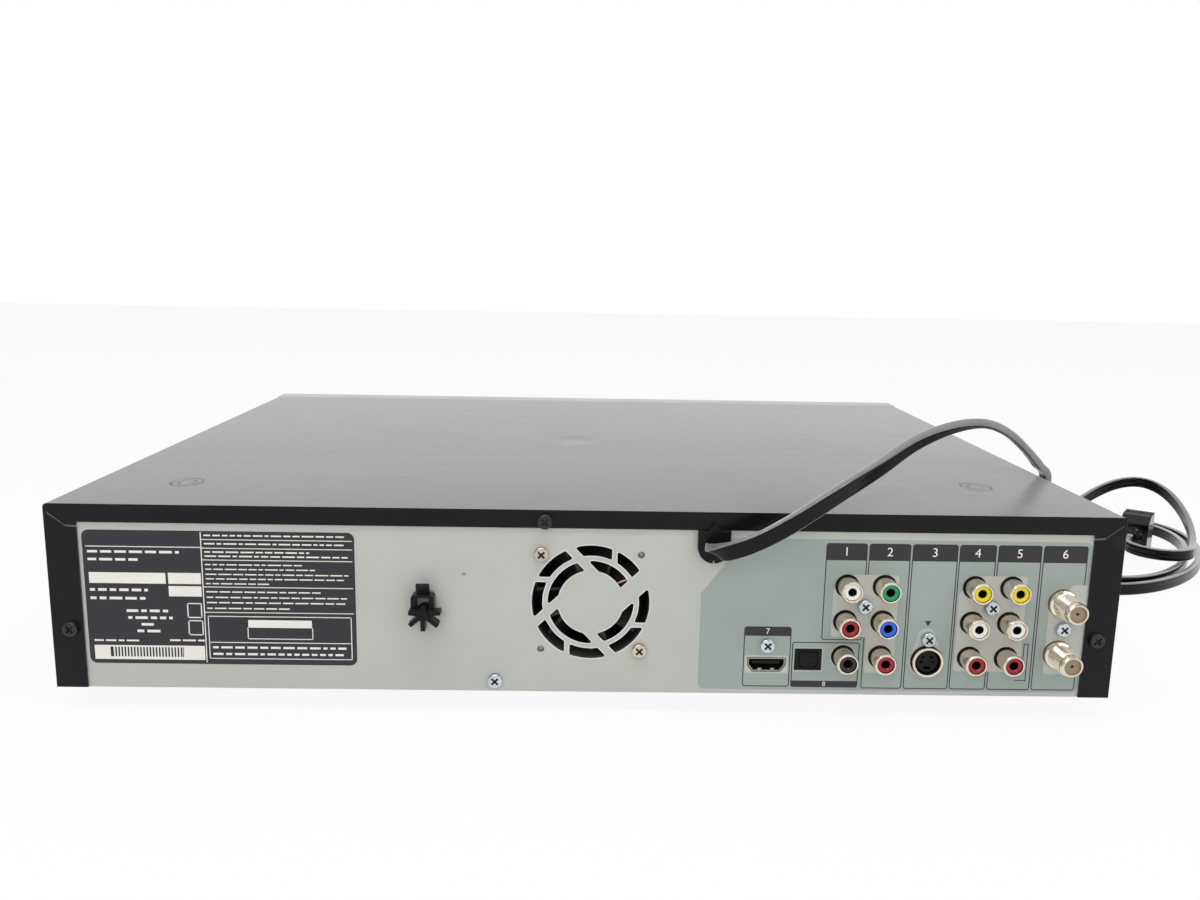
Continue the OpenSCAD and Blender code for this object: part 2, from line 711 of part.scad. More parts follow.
module strain_relief() {
  flat_w = 13;
  flat_t = 2.4;
  flat_top = top_z - flange_top - 0.1;
  color([0.07, 0.07, 0.07]) difference() {
    union() {
      // Lip outside the panel, below the cover's flange
      facing_rear(panel_out, flat_t) translate([bush_x, 0]) difference() {
        union() {
          translate([0, bush_z - 0.5]) circle(flat_w / 2, $fn = 36);
          translate([-flat_w / 2, bush_z - 0.5]) square([flat_w, flat_top - bush_z + 0.5]);
        }
        translate([-0.35, bush_z - 8]) square([0.7, 2.2]);
      }
      // Pointed tab over the flange
      facing_rear(rear_y + slip, flat_t - cover_t - slip) translate([bush_x, 0])
        polygon([[-flat_w / 2, flat_top], [-4.4, flat_top - 2], [0, top_z - 4.1], [4.4, flat_top - 2],
          [flat_w / 2, flat_top], [flat_w / 2, flat_top - 3], [-flat_w / 2, flat_top - 3]]);
      // Neck in the panel's notch, grip behind it
      facing_rear(panel_in - 6, 6 + panel_t + eps) translate([bush_x, bush_z + 1])
        round_rect(10.2, 11, 4.6);
      facing_rear(panel_in - 6, 4.6) translate([bush_x, bush_z]) round_rect(14, 13, 5);
    }
    // Way for the flat cord
    translate([bush_x, panel_in, bush_z - 0.6])
      cube([cord_w + 0.4, 40, cord_t + 0.4], center = true);
  }
}

// ---- power cord
side_x = -half_w;
bush_way = side_x - bush_x;
function over(u, y, z) = [bush_x + bush_way * u, rear_y + y, top_z + z];
function beside(x, y, z) = [side_x + x, rear_y + y, z];
// The coil's oval: its middle, its two half lengths and its long way
coil_mid = [side_x - 123, rear_y - 240, 3.6];
coil_far = [-0.6, -0.8, 0];
coil_near_side = [0.8, -0.6, 0];
coil_long = 95;
coil_wide = 52;
coil_pitch = 7.5;    // how much each loop is smaller than the one outside it
coil_layer = 7.8;    // height from one layer to the next
coil_bow = 24;       // how far the upper loops bow up at the far end
cord_end = coil_mid + coil_near_side * coil_wide;
// Points of the free cord from the bush to the coil, each with the direction of its width
cord_route = [
  over(0, -0.4, -14.2), over(0, 6, -14.2), over(0.03, 12, -12.5), over(0.09, 14.5, -8),
  over(0.17, 13, -1), over(0.28, 5, 8.5), over(0.4, -8, 17), over(0.52, -24, 25),
  over(0.64, -38, 29.3), over(0.75, -50, 29.3), over(0.84, -61, 24), over(0.92, -71, 15),
  over(0.985, -80, 6), [side_x - 4.2, rear_y - 85, top_z - 2], [side_x - 3.6, rear_y - 90, top_z - 24],
  beside(-3.6, -94, 42), beside(-4, -100, 24), beside(-6, -112, 10), beside(-10, -128, 4.6),
  beside(-19, -160, 3.6), cord_end - 72 * coil_far, cord_end - 42 * coil_far,
  cord_end - 8 * coil_far, cord_end
];
cord_turn = [
  [1, 0, 0], [1, 0, 0], [1, 0, 0.2], [1, 0, 0.5], [0.8, 0, 0.8], [0.6, 0, 0.9], [0.4, 0, 1],
  [0.3, -0.2, 1], [0.2, -0.4, 0.9], [0.1, -0.6, 0.7], [0, -0.8, 0.5], [0, -1, 0.2], [0, -1, 0],
  [0, -1, 0], [0, -1, 0], [0, -1, 0], [0, -1, 0.3], [0, -0.6, 0.8], [0, 0, 1], [0, 0, 1],
  [0, 0, 1], [0, 0, 1], [0, 0, 1], [0, 0, 1]
];
function unit(v) = v / norm(v);

// Smooth value a share t of the way from point i to i + 1
function smooth(p, i, t) = let (
  n = len(p), a = p[max(i - 1, 0)], b = p[i], c = p[min(i + 1, n - 1)], d = p[min(i + 2, n - 1)])
  0.5 * ((2 * b) + (c - a) * t + (2 * a - 5 * b + 4 * c - d) * t * t + (3 * b - a - 3 * c + d) * t * t * t);
function dense(p, k) = concat(
  [for (i = [0 : len(p) - 2], j = [0 : k - 1]) smooth(p, i, j / k)], [p[len(p) - 1]]);
function run_at(p, i, first, last) = i == 0 ? first : i == len(p) - 1 ? last : unit(p[i + 1] - p[i - 1]);

// Ring of the flat cord round c, with its width along wide
function flat_ring(c, way, wide, sides) = let (
  w = unit(wide - way * (wide * way)), h = cross(way, w), k = 1 / cos(180 / sides))
  [for (i = [0 : sides - 1]) let (a = 360 * (i + 0.5) / sides)
    c + w * (cord_w / 2 * k * cos(a)) + h * (cord_t / 2 * k * sin(a))];

module sweep(rings) {
  n = len(rings);
  s = len(rings[0]);
  polyhedron(
    points = [for (r = rings, p = r) p],
    faces = concat(
      [[for (k = [s - 1 : -1 : 0]) k]],
      [for (i = [0 : n - 2], k = [0 : s - 1]) each [
        [i * s + k, i * s + (k + 1) % s, (i + 1) * s + k],
        [i * s + (k + 1) % s, (i + 1) * s + (k + 1) % s, (i + 1) * s + k]]],
      [[for (k = [0 : s - 1]) (n - 1) * s + k]]));
}

module power_cord() {
  p = dense(cord_route, 2);
  w = dense(cord_turn, 2);
  color([0.06, 0.06, 0.06]) sweep([for (i = [0 : len(p) - 1])
    flat_ring(p[i], run_at(p, i, [0, 1, 0], coil_far), w[i], 8)]);
}

// Coil: spirals in for a loop and a half, climbs a layer in half a loop, spirals out for half
// a loop and turns back inside to the plug
function ease(x) = let (c = min(1, max(0, x))) c * c * (3 - 2 * c);
function coil_at(t) = let (
  s = t < 1.5 ? t : t < 2 ? 1.5 : 3.5 - t, up = ease(2 * t - 3), far = max(0, sin(360 * t)))
  coil_mid + coil_far * (coil_long - coil_pitch * s) * sin(360 * t)
    + coil_near_side * (coil_wide - coil_pitch * s) * cos(360 * t)
    + [0, 0, up * (coil_layer + coil_bow * far * far)];
tail_r = 18;
tail_from = coil_at(2.5);
tail_end = tail_from + coil_near_side * 2 * tail_r + coil_far * 10;
coil_points = concat(
  [cord_end, cord_end + 7 * coil_far], [for (i = [2 : 60]) coil_at(i / 24)],
  [for (a = [18 : 18 : 180]) tail_from + coil_near_side * tail_r * (1 - cos(a)) - coil_far * tail_r * sin(a)],
  [tail_end]);

module cord_coil() {
  p = coil_points;
  color([0.06, 0.06, 0.06]) sweep([for (i = [0 : len(p) - 1])
    flat_ring(p[i], run_at(p, i, coil_far, coil_far), [0, 0, 1], 6)]);
}

// Least room between two turns of the coil
function beside_gap(p, a, b) = let (
  v = b - a, t = min(1, max(0, (p - a) * v / (v * v))), d = p - a - v * t)
  max(abs(d[2]) - cord_w, norm([d[0], d[1]]) - cord_t / cos(30));
echo(coil_gap = min([for (i = [0 : len(coil_points) - 9], j = [i + 7 : len(coil_points) - 2])
  beside_gap(coil_points[i], coil_points[j], coil_points[j + 1])]));

plug_len = 34;
plug_w = 25;
plug_t = 17;
module power_plug() {
  color([0.07, 0.07, 0.07]) translate(tail_end) rotate(atan2(coil_far[1], coil_far[0])) {
    // Tapered relief, grip and two blades
    rotate([0, 90, 0]) rotate_extrude($fn = 32)
      polygon([[0, 0], [4.6, 0], [4.6, 1], [4.2, 1.6], [4.9, 2.4], [4.6, 4], [5.4, 5], [5.2, 6.6],
        [6.2, 7.6], [6.2, 13], [0, 13]]);
    translate([12, 0, 0]) rotate([90, 0, 0]) translate([0, 0, -plug_t / 2]) linear_extrude(plug_t)
      difference() {
        polygon([[0, -7], [8, -plug_w / 2 + 1.4], [11, -plug_w / 2 + 1], [plug_len - 12, -plug_w / 2 + 1],
          [plug_len - 12, plug_w / 2], [11, plug_w / 2], [8, plug_w / 2 - 0.4], [0, 8]]);
        for (x = [9 : 4 : 17], z = [-plug_w / 2, plug_w / 2 + 1]) translate([x, z]) circle(1.4, $fn = 20);
      }
  }
  color("silver") translate(tail_end) rotate(atan2(coil_far[1], coil_far[0]))
    for (z = [-6.35, 6.35]) translate([plug_len - 1 + 8.5, 0, z]) cube([17 + 2, 6.3, 1.5], center = true);
}

// ---- circuit boards
module main_board() {
  color([0.1, 0.35, 0.2]) difference() {
    box(main_x0, main_x1, main_y0, board_y1, board_z, board_top);
    for (p = board_posts(main_x0, main_x1, main_y0, board_y1))
      translate([p[0], p[1], board_z - 1]) cylinder(r = 1.5, h = board_t + 2, $fn = 20);
  }
  mid_x = (main_x0 + main_x1) / 2;
  color([0.1, 0.1, 0.1]) for (k = [-1, 0, 1])
    translate([mid_x + k * 34 - 11, main_y0 + 12, board_top]) cube([22, 22, 2]);
  color("silver") translate([mid_x - 14, main_y0 + 9, board_top + 2]) difference() {
    cube([28, 28, 12]);
    for (k = [0 : 5]) translate([3 + k * 4.2, -1, 2.5]) cube([1.8, 30, 12]);
  }
}

module power_board() {
  depth = board_y1 - power_y0;
  mid_y = power_y0 + depth / 2;
  color([0.75, 0.6, 0.35]) difference() {
    box(power_x0, power_x1, power_y0, board_y1, board_z, board_top);
    for (p = board_posts(power_x0, power_x1, power_y0, board_y1))
      translate([p[0], p[1], board_z - 1]) cylinder(r = 1.5, h = board_t + 2, $fn = 20);
  }
  // Transformer, main capacitor, small capacitors and a heat sink
  color([0.85, 0.8, 0.3]) translate([power_x0 + 60, mid_y, board_top]) {
    translate([-14, -12, 0]) cube([28, 24, 5]);
    translate([-11, -9, 5]) cube([22, 18, 14]);
    translate([-14, -12, 19]) cube([28, 24, 5]);
  }
  color([0.1, 0.15, 0.3]) translate([power_x0 + 26, mid_y, board_top]) cylinder(r = 11, h = 30, $fn = 36);
  color([0.1, 0.1, 0.1]) for (k = [0 : 3])
    translate([power_x0 + 86 + k * 11, mid_y - 8, board_top]) cylinder(r = 4, h = 14, $fn = 24);
  color("silver") translate([power_x0 + 82, mid_y + 4, board_top]) difference() {
    cube([44, 10, 24]);
    for (k = [0 : 6]) translate([2.4 + k * 6, 2.5, 4]) cube([3.6, 10, 24]);
  }
}

// ---- cassette deck
deck_edge = 4;
deck_side_t = 1.2;
carriage_t = 1;
carriage_half = cassette_w / 2 + 0.5 + carriage_t;
deck_half = carriage_half + 0.8 + deck_side_t;
deck_x = half_w - cover_t - deck_edge - deck_half;
carriage_h = cassette_h + 2 + 2 * carriage_t;
carriage_z = roof_z - 5 - carriage_h;
carriage_y = joint_y + 18;
carriage_d = 80;
deck_t = 1.5;
deck_z = carriage_z - cassette_drop - 1.7;
deck_y0 = joint_y + 16;
pin_ys = [carriage_y + 12, carriage_y + 68];
pin_z = carriage_z + 9;
pin_r = 1.5;
drum_r = drum_dia / 2;
drum_y = joint_y + 171;
drum_z = deck_z + 4;
drum_low_h = 14;
drum_top_h = 16;
capstan_x = deck_x + 58;
capstan_y = joint_y + 136;
arm_pivot = [deck_x + 84, joint_y + 156];
roller_rest = [deck_x + 76, joint_y + 132.4];
reel_y = carriage_y + 42;
reel_x = 46;

module deck_plate() {
  color([0.7, 0.71, 0.73]) difference() {
    union() {
      box(deck_x - deck_half, deck_x + deck_half, deck_y0, deck_back, deck_z - deck_t, deck_z);
      for (sx = [-1, 1]) difference() {
        translate([deck_x + sx * (deck_half - deck_side_t / 2), carriage_y + 40, (deck_z + carriage_z + carriage_h) / 2])
          cube([deck_side_t, 84, carriage_z + carriage_h - deck_z + eps], center = true);
        for (y = pin_ys) translate([deck_x + sx * deck_half - 5, y, pin_z - cassette_drop / 2])
          rotate([90, 0, 90]) linear_extrude(10)
            round_rect(2 * pin_r + 0.3, cassette_drop + 2 * pin_r + 0.3, pin_r + 0.1);
      }
      for (sx = [-1, 1], y = [deck_y0 + 8, (deck_y0 + deck_back) / 2, deck_back - 8])
        translate([deck_x + sx * (deck_half - 8), y, floor_z])
          cylinder(r = 4, h = deck_z - deck_t - floor_z + eps, $fn = 24);
      // Capstan bearing, posts of the reels and the pinch arm
      translate([capstan_x, capstan_y, deck_z - eps]) cylinder(r = 4, h = 4.5, $fn = 28);
      for (sx = [-1, 1]) translate([deck_x + sx * reel_x, reel_y, deck_z - eps])
        cylinder(r = 1.5, h = 10.3, $fn = 24);
      translate([arm_pivot[0], arm_pivot[1], deck_z - eps]) cylinder(r = 2, h = 8, $fn = 24);
      translate([arm_pivot[0], arm_pivot[1], deck_z - eps]) cylinder(r = 4, h = 2, $fn = 24);
    }
    translate([capstan_x, capstan_y, deck_z - 4]) cylinder(r = 1.5 + run, h = 20, $fn = 24);
    for (sx = [-1, 1]) translate([deck_x + sx * (drum_r + 14), drum_y - 26, deck_z - 2]) rotate(sx * 20)
      linear_extrude(4) round_rect(6, 44, 2.9);
    translate([deck_x, reel_y, deck_z - 2]) linear_extrude(4) round_rect(30, 40, 6);
  }
  // Loading motor
  color([0.6, 0.6, 0.6]) {
    translate([deck_x - 84, drum_y - 10, deck_z]) cube([22, 30, 3]);
    rod_y(deck_x - 73, drum_y - 12, deck_z + 13, 11, 30, 36);
    rod_y(deck_x - 73, drum_y - 20, deck_z + 13, 3, 8 + eps, 20);
  }
}

module drum_base() {
  color([0.8, 0.81, 0.82]) difference() {
    union() {
      translate([deck_x, drum_y, drum_z]) rotate([-drum_tilt, 0, 0]) {
        cylinder(r = drum_r, h = drum_low_h, $fn = 72);
      }
      intersection() {
        translate([deck_x, drum_y, deck_z]) cylinder(r = 24, h = 20, $fn = 48);
        translate([deck_x, drum_y, drum_z]) rotate([-drum_tilt, 0, 0])
          translate([0, 0, -19.5]) cylinder(r = 40, h = 20, $fn = 48);
      }
    }
    translate([deck_x, drum_y, drum_z]) rotate([-drum_tilt, 0, 0]) translate([0, 0, 4])
      cylinder(r = 3 + run, h = 40, $fn = 32);
  }
}

module drum_top() {
  color([0.85, 0.86, 0.87]) translate([deck_x, drum_y, drum_z]) rotate([-drum_tilt, 0, 0])
    difference() {
      union() {
        translate([0, 0, drum_low_h + slip]) rotate_extrude($fn = 72)
          polygon([[0, 0], [drum_r, 0], [drum_r, drum_top_h - 1], [drum_r - 1, drum_top_h],
            [drum_r - 9, drum_top_h], [drum_r - 10, drum_top_h - 3], [12, drum_top_h - 3],
            [11, drum_top_h], [0, drum_top_h]]);
        translate([0, 0, 5]) cylinder(r = 3, h = drum_low_h, $fn = 32);
      }
      for (a = [0 : 90 : 270]) rotate(a) translate([drum_r - 1.2, -2.5, drum_low_h]) cube([3, 5, 2.2]);
      for (a = [45 : 90 : 315]) rotate(a) translate([17, 0, drum_low_h + drum_top_h - 6])
        cylinder(r = 1.6, h = 10, $fn = 20);
    }
}

module capstan() {
  color([0.6, 0.6, 0.62]) translate([capstan_x, capstan_y, 0]) union() {
    translate([0, 0, deck_z - deck_t - 4.8]) cylinder(r = 21, h = 4, $fn = 56);
    translate([0, 0, deck_z - deck_t - 4.8]) cylinder(r = 1.5, h = deck_t + 4.8 + 24, $fn = 24);
  }
}

arm_z = deck_z + 2.3;
module pinch_arm() {
  d = roller_rest - arm_pivot;
  color([0.55, 0.55, 0.57]) difference() {
    union() {
      translate([arm_pivot[0], arm_pivot[1], arm_z]) cylinder(r = 4, h = 4, $fn = 28);
      translate([roller_rest[0], roller_rest[1], arm_z]) cylinder(r = 4, h = 2.5, $fn = 28);
      translate([arm_pivot[0], arm_pivot[1], arm_z]) rotate(atan2(d[1], d[0]))
        translate([0, -3, 0]) cube([norm(d), 6, 2.5]);
      translate([roller_rest[0], roller_rest[1], arm_z]) cylinder(r = 1.5, h = 18.5, $fn = 24);
    }
    translate([arm_pivot[0], arm_pivot[1], arm_z - 1]) cylinder(r = 2 + run, h = 8, $fn = 24);
  }
}

module pinch_roller() {
  color([0.12, 0.12, 0.12]) translate([roller_rest[0], roller_rest[1], arm_z + 2.5 + slip])
    difference() {
      rotate_extrude($fn = 36) polygon([[0, 0], [3, 0], [3, 0.5], [7, 0.5], [7, 13.5], [3, 13.5], [3, 14], [0, 14]]);
      translate([0, 0, -1]) cylinder(r = 1.5 + run, h = 16, $fn = 24);
    }
}

module reel(x) {
  translate([x, reel_y, deck_z + slip]) difference() {
    union() {
      cylinder(r = 21, h = 2.2, $fn = 48);
      cylinder(r = 9, h = 5, $fn = 32);
      cylinder(r = 4.5, h = 12, $fn = 24);
      for (a = [0 : 60 : 300]) rotate(a) translate([3.5, -0.8, 5]) cube([2.6, 1.6, 6]);
    }
    translate([0, 0, -1]) cylinder(r = 1.5 + run, h = 11.5, $fn = 24);
    for (a = [0 : 60 : 300]) rotate(a) translate([15, 0, -1]) cylinder(r = 2.6, h = 5, $fn = 20);
  }
}

module supply_reel() {
  color([0.9, 0.9, 0.88]) reel(deck_x - reel_x);
}

module takeup_reel() {
  color([0.9, 0.9, 0.88]) reel(deck_x + reel_x);
}

module cassette_carriage() {
  ledge = 9;
  y1 = carriage_y + carriage_d;
  color([0.62, 0.63, 0.66]) difference() {
    union() {
      for (sx = [-1, 1]) {
        translate([deck_x + sx * (carriage_half - carriage_t / 2), carriage_y + carriage_d / 2,
          carriage_z + carriage_h / 2]) cube([carriage_t, carriage_d, carriage_h], center = true);
        translate([deck_x + sx * (carriage_half - ledge / 2), carriage_y + carriage_d / 2,
          carriage_z + carriage_t / 2]) cube([ledge, carriage_d, carriage_t], center = true);
        for (y = pin_ys)
          rod_x(deck_x + sx * (carriage_half + 0.8), y, pin_z, pin_r, 2.4, 24);
      }
      box(deck_x - carriage_half, deck_x + carriage_half, carriage_y, y1,
        carriage_z + carriage_h - carriage_t, carriage_z + carriage_h);
      box(deck_x - carriage_half, deck_x + carriage_half, carriage_y, carriage_y + 7,
        carriage_z, carriage_z + carriage_t);
    }
    for (sx = [-1, 1])
      translate([deck_x + sx * 47, carriage_y + carriage_d / 2, carriage_z + carriage_h - 2])
        linear_extrude(4) difference() {
          round_rect(70, 60, 5);
          translate([0, 8]) square([14, 50], center = true);
        }
  }
}

// ---- front moulding
door_half = cassette_w / 2 + 1.8;
door_z1 = carriage_z + carriage_h + 1;
door_z0 = carriage_z - 1;
door_gap = 0.4;
door_knuckle = 2.4;
door_axis_y = front_y + 0.6 + door_knuckle;
door_axis_z = door_z1 - door_gap - door_knuckle;
drive_x = -half_w + cover_t + 4 + drive_w / 2;
tray_z = floor_z + 40;
tray_front_z = tray_z + 5;
tray_front_half = drive_w / 2 - 1;
split_z = min(tray_front_z - tray_front_h / 2 - 3, door_z0 - 3);
lower_y = front_y + lower_step;
key_z = (base_z + split_z) / 2 + 0.5;
window_x = drive_x + 6;
flap_w = 62;
flap_h = split_z - base_z - 12;
flap_x = deck_x + 58;
flap_knuckle = 1.8;
flap_axis_y = lower_y + 0.3 + flap_knuckle;
flap_axis_z = key_z - flap_h / 2 + flap_knuckle;
pocket_d = 9.5;
front_jack_xs = [flap_x - 18, flap_x, flap_x + 18];

// Buttons: x, width, height
power_at = [drive_x - drive_w / 2 + 9, 12, 12];
tray_at = [drive_x + drive_w / 2 - 4, 15, 7];
eject_at = [deck_x - 84, 15, 7];
stop_at = [deck_x - 57, 13, 9];
play_at = [deck_x - 34, 22, 11];
record_at = [deck_x - 4, 13, 9];
buttons = [power_at, tray_at, eject_at, stop_at, play_at, record_at];
button_round = 2;

module key_outline(b, grow) {
  translate([b[0], key_z]) round_rect(b[1] + 2 * grow, b[2] + 2 * grow, button_round + grow);
}

// The moulding's outside, rounded in plan and at its edges
module bezel_block(inset) {
  r = bezel_round - inset / 2;
  intersection() {
    translate([0, 0, base_z + inset]) linear_extrude(body_h - 2 * inset) {
      translate([-half_w + inset, front_y + inset + r]) square([body_w - 2 * inset, bezel_d - r - inset + inset]);
      translate([-half_w + inset + r, front_y + inset]) square([body_w - 2 * inset - 2 * r, bezel_d - inset]);
      for (sx = [-1, 1]) translate([sx * (half_w - inset - r), front_y + inset + r]) circle(r, $fn = 48);
    }
    translate([-half_w, 0, 0]) rotate([90, 0, 90]) linear_extrude(body_w) {
      translate([front_y + inset + 2, base_z]) square([bezel_d + 4, body_h]);
      translate([front_y + inset, base_z + 2]) square([bezel_d + 4, body_h - 4]);
      for (z = [base_z + 2, top_z - 2]) translate([front_y + inset + 2, z]) circle(2, $fn = 32);
    }
  }
}

module door_ears() {
  for (sx = [-1, 1]) translate([deck_x + sx * (door_half + door_gap + 1.5), door_axis_y + 1, door_axis_z])
    cube([2.6, 8.5, 6.5], center = true);
}

module flap_ears() {
  for (sx = [-1, 1]) translate([flap_x + sx * (flap_w / 2 + slip + 1.5), flap_axis_y + 1.2, flap_axis_z])
    cube([2.6, 6, 5.4], center = true);
}

module front_bezel() {
  color([0.78, 0.79, 0.8]) difference() {
    union() {
      difference() {
        bezel_block(0);
        difference() {
          bezel_block(bezel_wall);
          // Thicker skin behind the lower half
          box(-half_w, half_w, front_y, lower_y + bezel_wall, base_z, split_z + 1);
        }
        translate([0, joint_y - 4, 0]) box(-half_w + bezel_wall, half_w - bezel_wall, 0, 6,
          base_z + bezel_wall, top_z - bezel_wall);
        // Step back of the lower half
        box(-half_w - 1, half_w + 1, front_y - 1, lower_y, base_z - 1, split_z);
      }
      // Tub behind the connector flap
      box(flap_x - flap_w / 2 - 1.8, flap_x + flap_w / 2 + 1.8, lower_y + 1, lower_y + pocket_d + 1.6,
        key_z - flap_h / 2 - 1.8, key_z + flap_h / 2 + 1.8);
      door_ears();
      flap_ears();
      // Ribs that carry the door's ears
      for (sx = [-1, 1]) translate([deck_x + sx * (door_half + door_gap + 1.5), (front_y + joint_y) / 2 + 1,
        top_z - bezel_wall - 2]) cube([2.6, bezel_d - 2, 6], center = true);
      // Posts for the front circuit board
      for (x = board_screw_xs) rod_y(x, lower_y + 1, key_z, 2.5, front_board_y - lower_y - 1, 24);
      // Hooks over the chassis floor
      for (x = [-half_w * 0.7, -half_w * 0.2, half_w * 0.2, half_w * 0.7])
        box(x - 8, x + 8, joint_y - 6, joint_y + 8, floor_z, floor_z + 2.4);
    }
    // Openings
    box(deck_x - door_half - door_gap, deck_x + door_half + door_gap, front_y - 1, joint_y - 2.5, door_z0, door_z1);
    box(drive_x - tray_front_half - slip, drive_x + tray_front_half + slip, front_y - 1, joint_y - 2.5,
      tray_front_z - tray_front_h / 2 - slip, tray_front_z + tray_front_h / 2 + slip);
    facing_rear(front_y - 1, 12) translate([window_x, key_z]) round_rect(window_w - 4, window_h - 4, 1.5);
    facing_rear(lower_y - 2, 2 + 1.6) translate([window_x, key_z]) round_rect(window_w + 0.2, window_h + 0.2, 2.1);
    facing_rear(front_y - 1, 8) for (b = buttons) key_outline(b, slip);
    // Connector pocket with its hinge sockets and three holes
    box(flap_x - flap_w / 2 - slip, flap_x + flap_w / 2 + slip, front_y - 1, lower_y + pocket_d,
      key_z - flap_h / 2 - slip, key_z + flap_h / 2 + slip);
    rod_x(flap_x, flap_axis_y, flap_axis_z, 1 + run, flap_w + 2 * slip + 3, 24);
    rod_x(deck_x, door_axis_y, door_axis_z, 1.4 + run, 2 * door_half + 2 * door_gap + 4, 24);
    for (x = front_jack_xs) rod_y(x, lower_y, key_z, phono_dia / 2 + 0.2, pocket_d + 4, 28);
    // Groove between the upper and lower halves
    box(-half_w - 1, half_w + 1, front_y - 1, lower_y + 0.5, split_z - 0.8, split_z + eps);
  }
}

module display_window() {
  color([0.1, 0.1, 0.12, 0.7]) facing_rear(lower_y, 1.6)
    translate([window_x, key_z]) round_rect(window_w, window_h, 2);
}

module cassette_door() {
  bottom = door_z0 + door_gap;
  color([0.72, 0.73, 0.75]) difference() {
    union() {
      rod_x(deck_x, door_axis_y, door_axis_z, door_knuckle, 2 * door_half, 40);
      rod_x(deck_x, door_axis_y, door_axis_z, 1.4, 2 * door_half + 2 * door_gap + 3, 24);
      box(deck_x - door_half, deck_x + door_half, door_axis_y - door_knuckle,
        door_axis_y - door_knuckle + 2, bottom, door_axis_z);
      for (x = [-60, 0, 60]) box(deck_x + x - 1, deck_x + x + 1, door_axis_y - door_knuckle + 1,
        door_axis_y + 1.4, bottom + 3, door_axis_z);
    }
    // Dished strip along the lower edge, where the cassette pushes
    box(deck_x - 60, deck_x + 60, door_axis_y - door_knuckle - 1, door_axis_y - door_knuckle + 0.5,
      bottom + 3, bottom + 4);
  }
}

module jack_flap() {
  color([0.72, 0.73, 0.75]) difference() {
    union() {
      rod_x(flap_x, flap_axis_y, flap_axis_z, flap_knuckle, flap_w, 36);
      rod_x(flap_x, flap_axis_y, flap_axis_z, 1, flap_w + 2 * slip + 2, 24);
      box(flap_x - flap_w / 2, flap_x + flap_w / 2, flap_axis_y - flap_knuckle,
        flap_axis_y - flap_knuckle + 1.8, flap_axis_z, key_z + flap_h / 2);
    }
    // Finger notch
    rod_y(flap_x, flap_axis_y - 6, key_z + flap_h / 2 + 4, 7, 12, 36);
  }
}

// ---- front circuit board
front_board_y = front_y + 12.6;
board_screw_xs = [drive_x - drive_w / 2 + 19.2, tray_at[0] + 13, deck_x - 70.5, deck_x + 10];
switch_front = lower_y + bezel_wall + 2.6 + button_travel;
module front_board() {
  z0 = base_z + bezel_wall + 1.2;
  z1 = split_z - 2.5;
  x1 = flap_x - flap_w / 2 - 3;
  color([0.55, 0.45, 0.25]) box(-half_w + 10, x1, front_board_y, front_board_y + board_t, z0, z1);
  color([0.2, 0.3, 0.3]) box(window_x - window_w / 2 + 4, window_x + window_w / 2 - 4,
    front_board_y - 6, front_board_y, key_z - 6, key_z + 6);
  color([0.15, 0.15, 0.15]) for (b = buttons) {
    box(b[0] - 3, b[0] + 3, front_board_y - 2, front_board_y, key_z - 3, key_z + 3);
    rod_y(b[0], switch_front + slip, key_z, 1.6, front_board_y - switch_front - slip, 20);
  }
  // Front connectors on their own board
  color([0.1, 0.1, 0.1]) difference() {
    box(flap_x - 27, flap_x + 27, lower_y + pocket_d + 1.6, lower_y + pocket_d + 5, key_z - 6.4, key_z + 6.4);
  }
  for (x = front_jack_xs) {
    color([0.78, 0.75, 0.68]) translate([x, lower_y + pocket_d + 1.6, key_z]) rotate([90, 0, 0])
      rotate_extrude($fn = 32) polygon([[phono_dia / 2 - 0.7, 0], [phono_dia / 2, 0], [phono_dia / 2, 6.4],
        [phono_dia / 2 - 0.3, 6.8], [phono_dia / 2 - 0.7, 6.8]]);
    color(x == front_jack_xs[0] ? "yellow" : x == front_jack_xs[1] ? "white" : "red")
      translate([x, lower_y + pocket_d + 1.6, key_z]) rotate([90, 0, 0]) rotate_extrude($fn = 28)
        polygon([[0, 0], [phono_dia / 2 - 0.75, 0], [phono_dia / 2 - 0.75, 6.3], [1.7, 6.3], [1.7, 1.2], [0, 1.2]]);
  }
}

// ---- push buttons
module push_button(b) {
  flange_y = lower_y + bezel_wall + slip;
  facing_rear(lower_y - 0.8, flange_y - lower_y + 0.8 + eps) key_outline(b, 0);
  facing_rear(flange_y, 1) translate([b[0], key_z]) round_rect(b[1] + 2.4, b[2] + 2.4, button_round);
  rod_y(b[0], flange_y, key_z, 1.6, switch_front - flange_y - button_travel, 20);
}

module power_button() {
  color([0.6, 0.62, 0.64]) push_button(power_at);
}

module tray_button() {
  color([0.6, 0.62, 0.64]) push_button(tray_at);
}

module eject_button() {
  color([0.6, 0.62, 0.64]) push_button(eject_at);
}

module stop_button() {
  color([0.6, 0.62, 0.64]) push_button(stop_at);
}

module play_button() {
  color([0.6, 0.62, 0.64]) push_button(play_at);
}

module record_button() {
  color([0.75, 0.2, 0.2]) push_button(record_at);
}

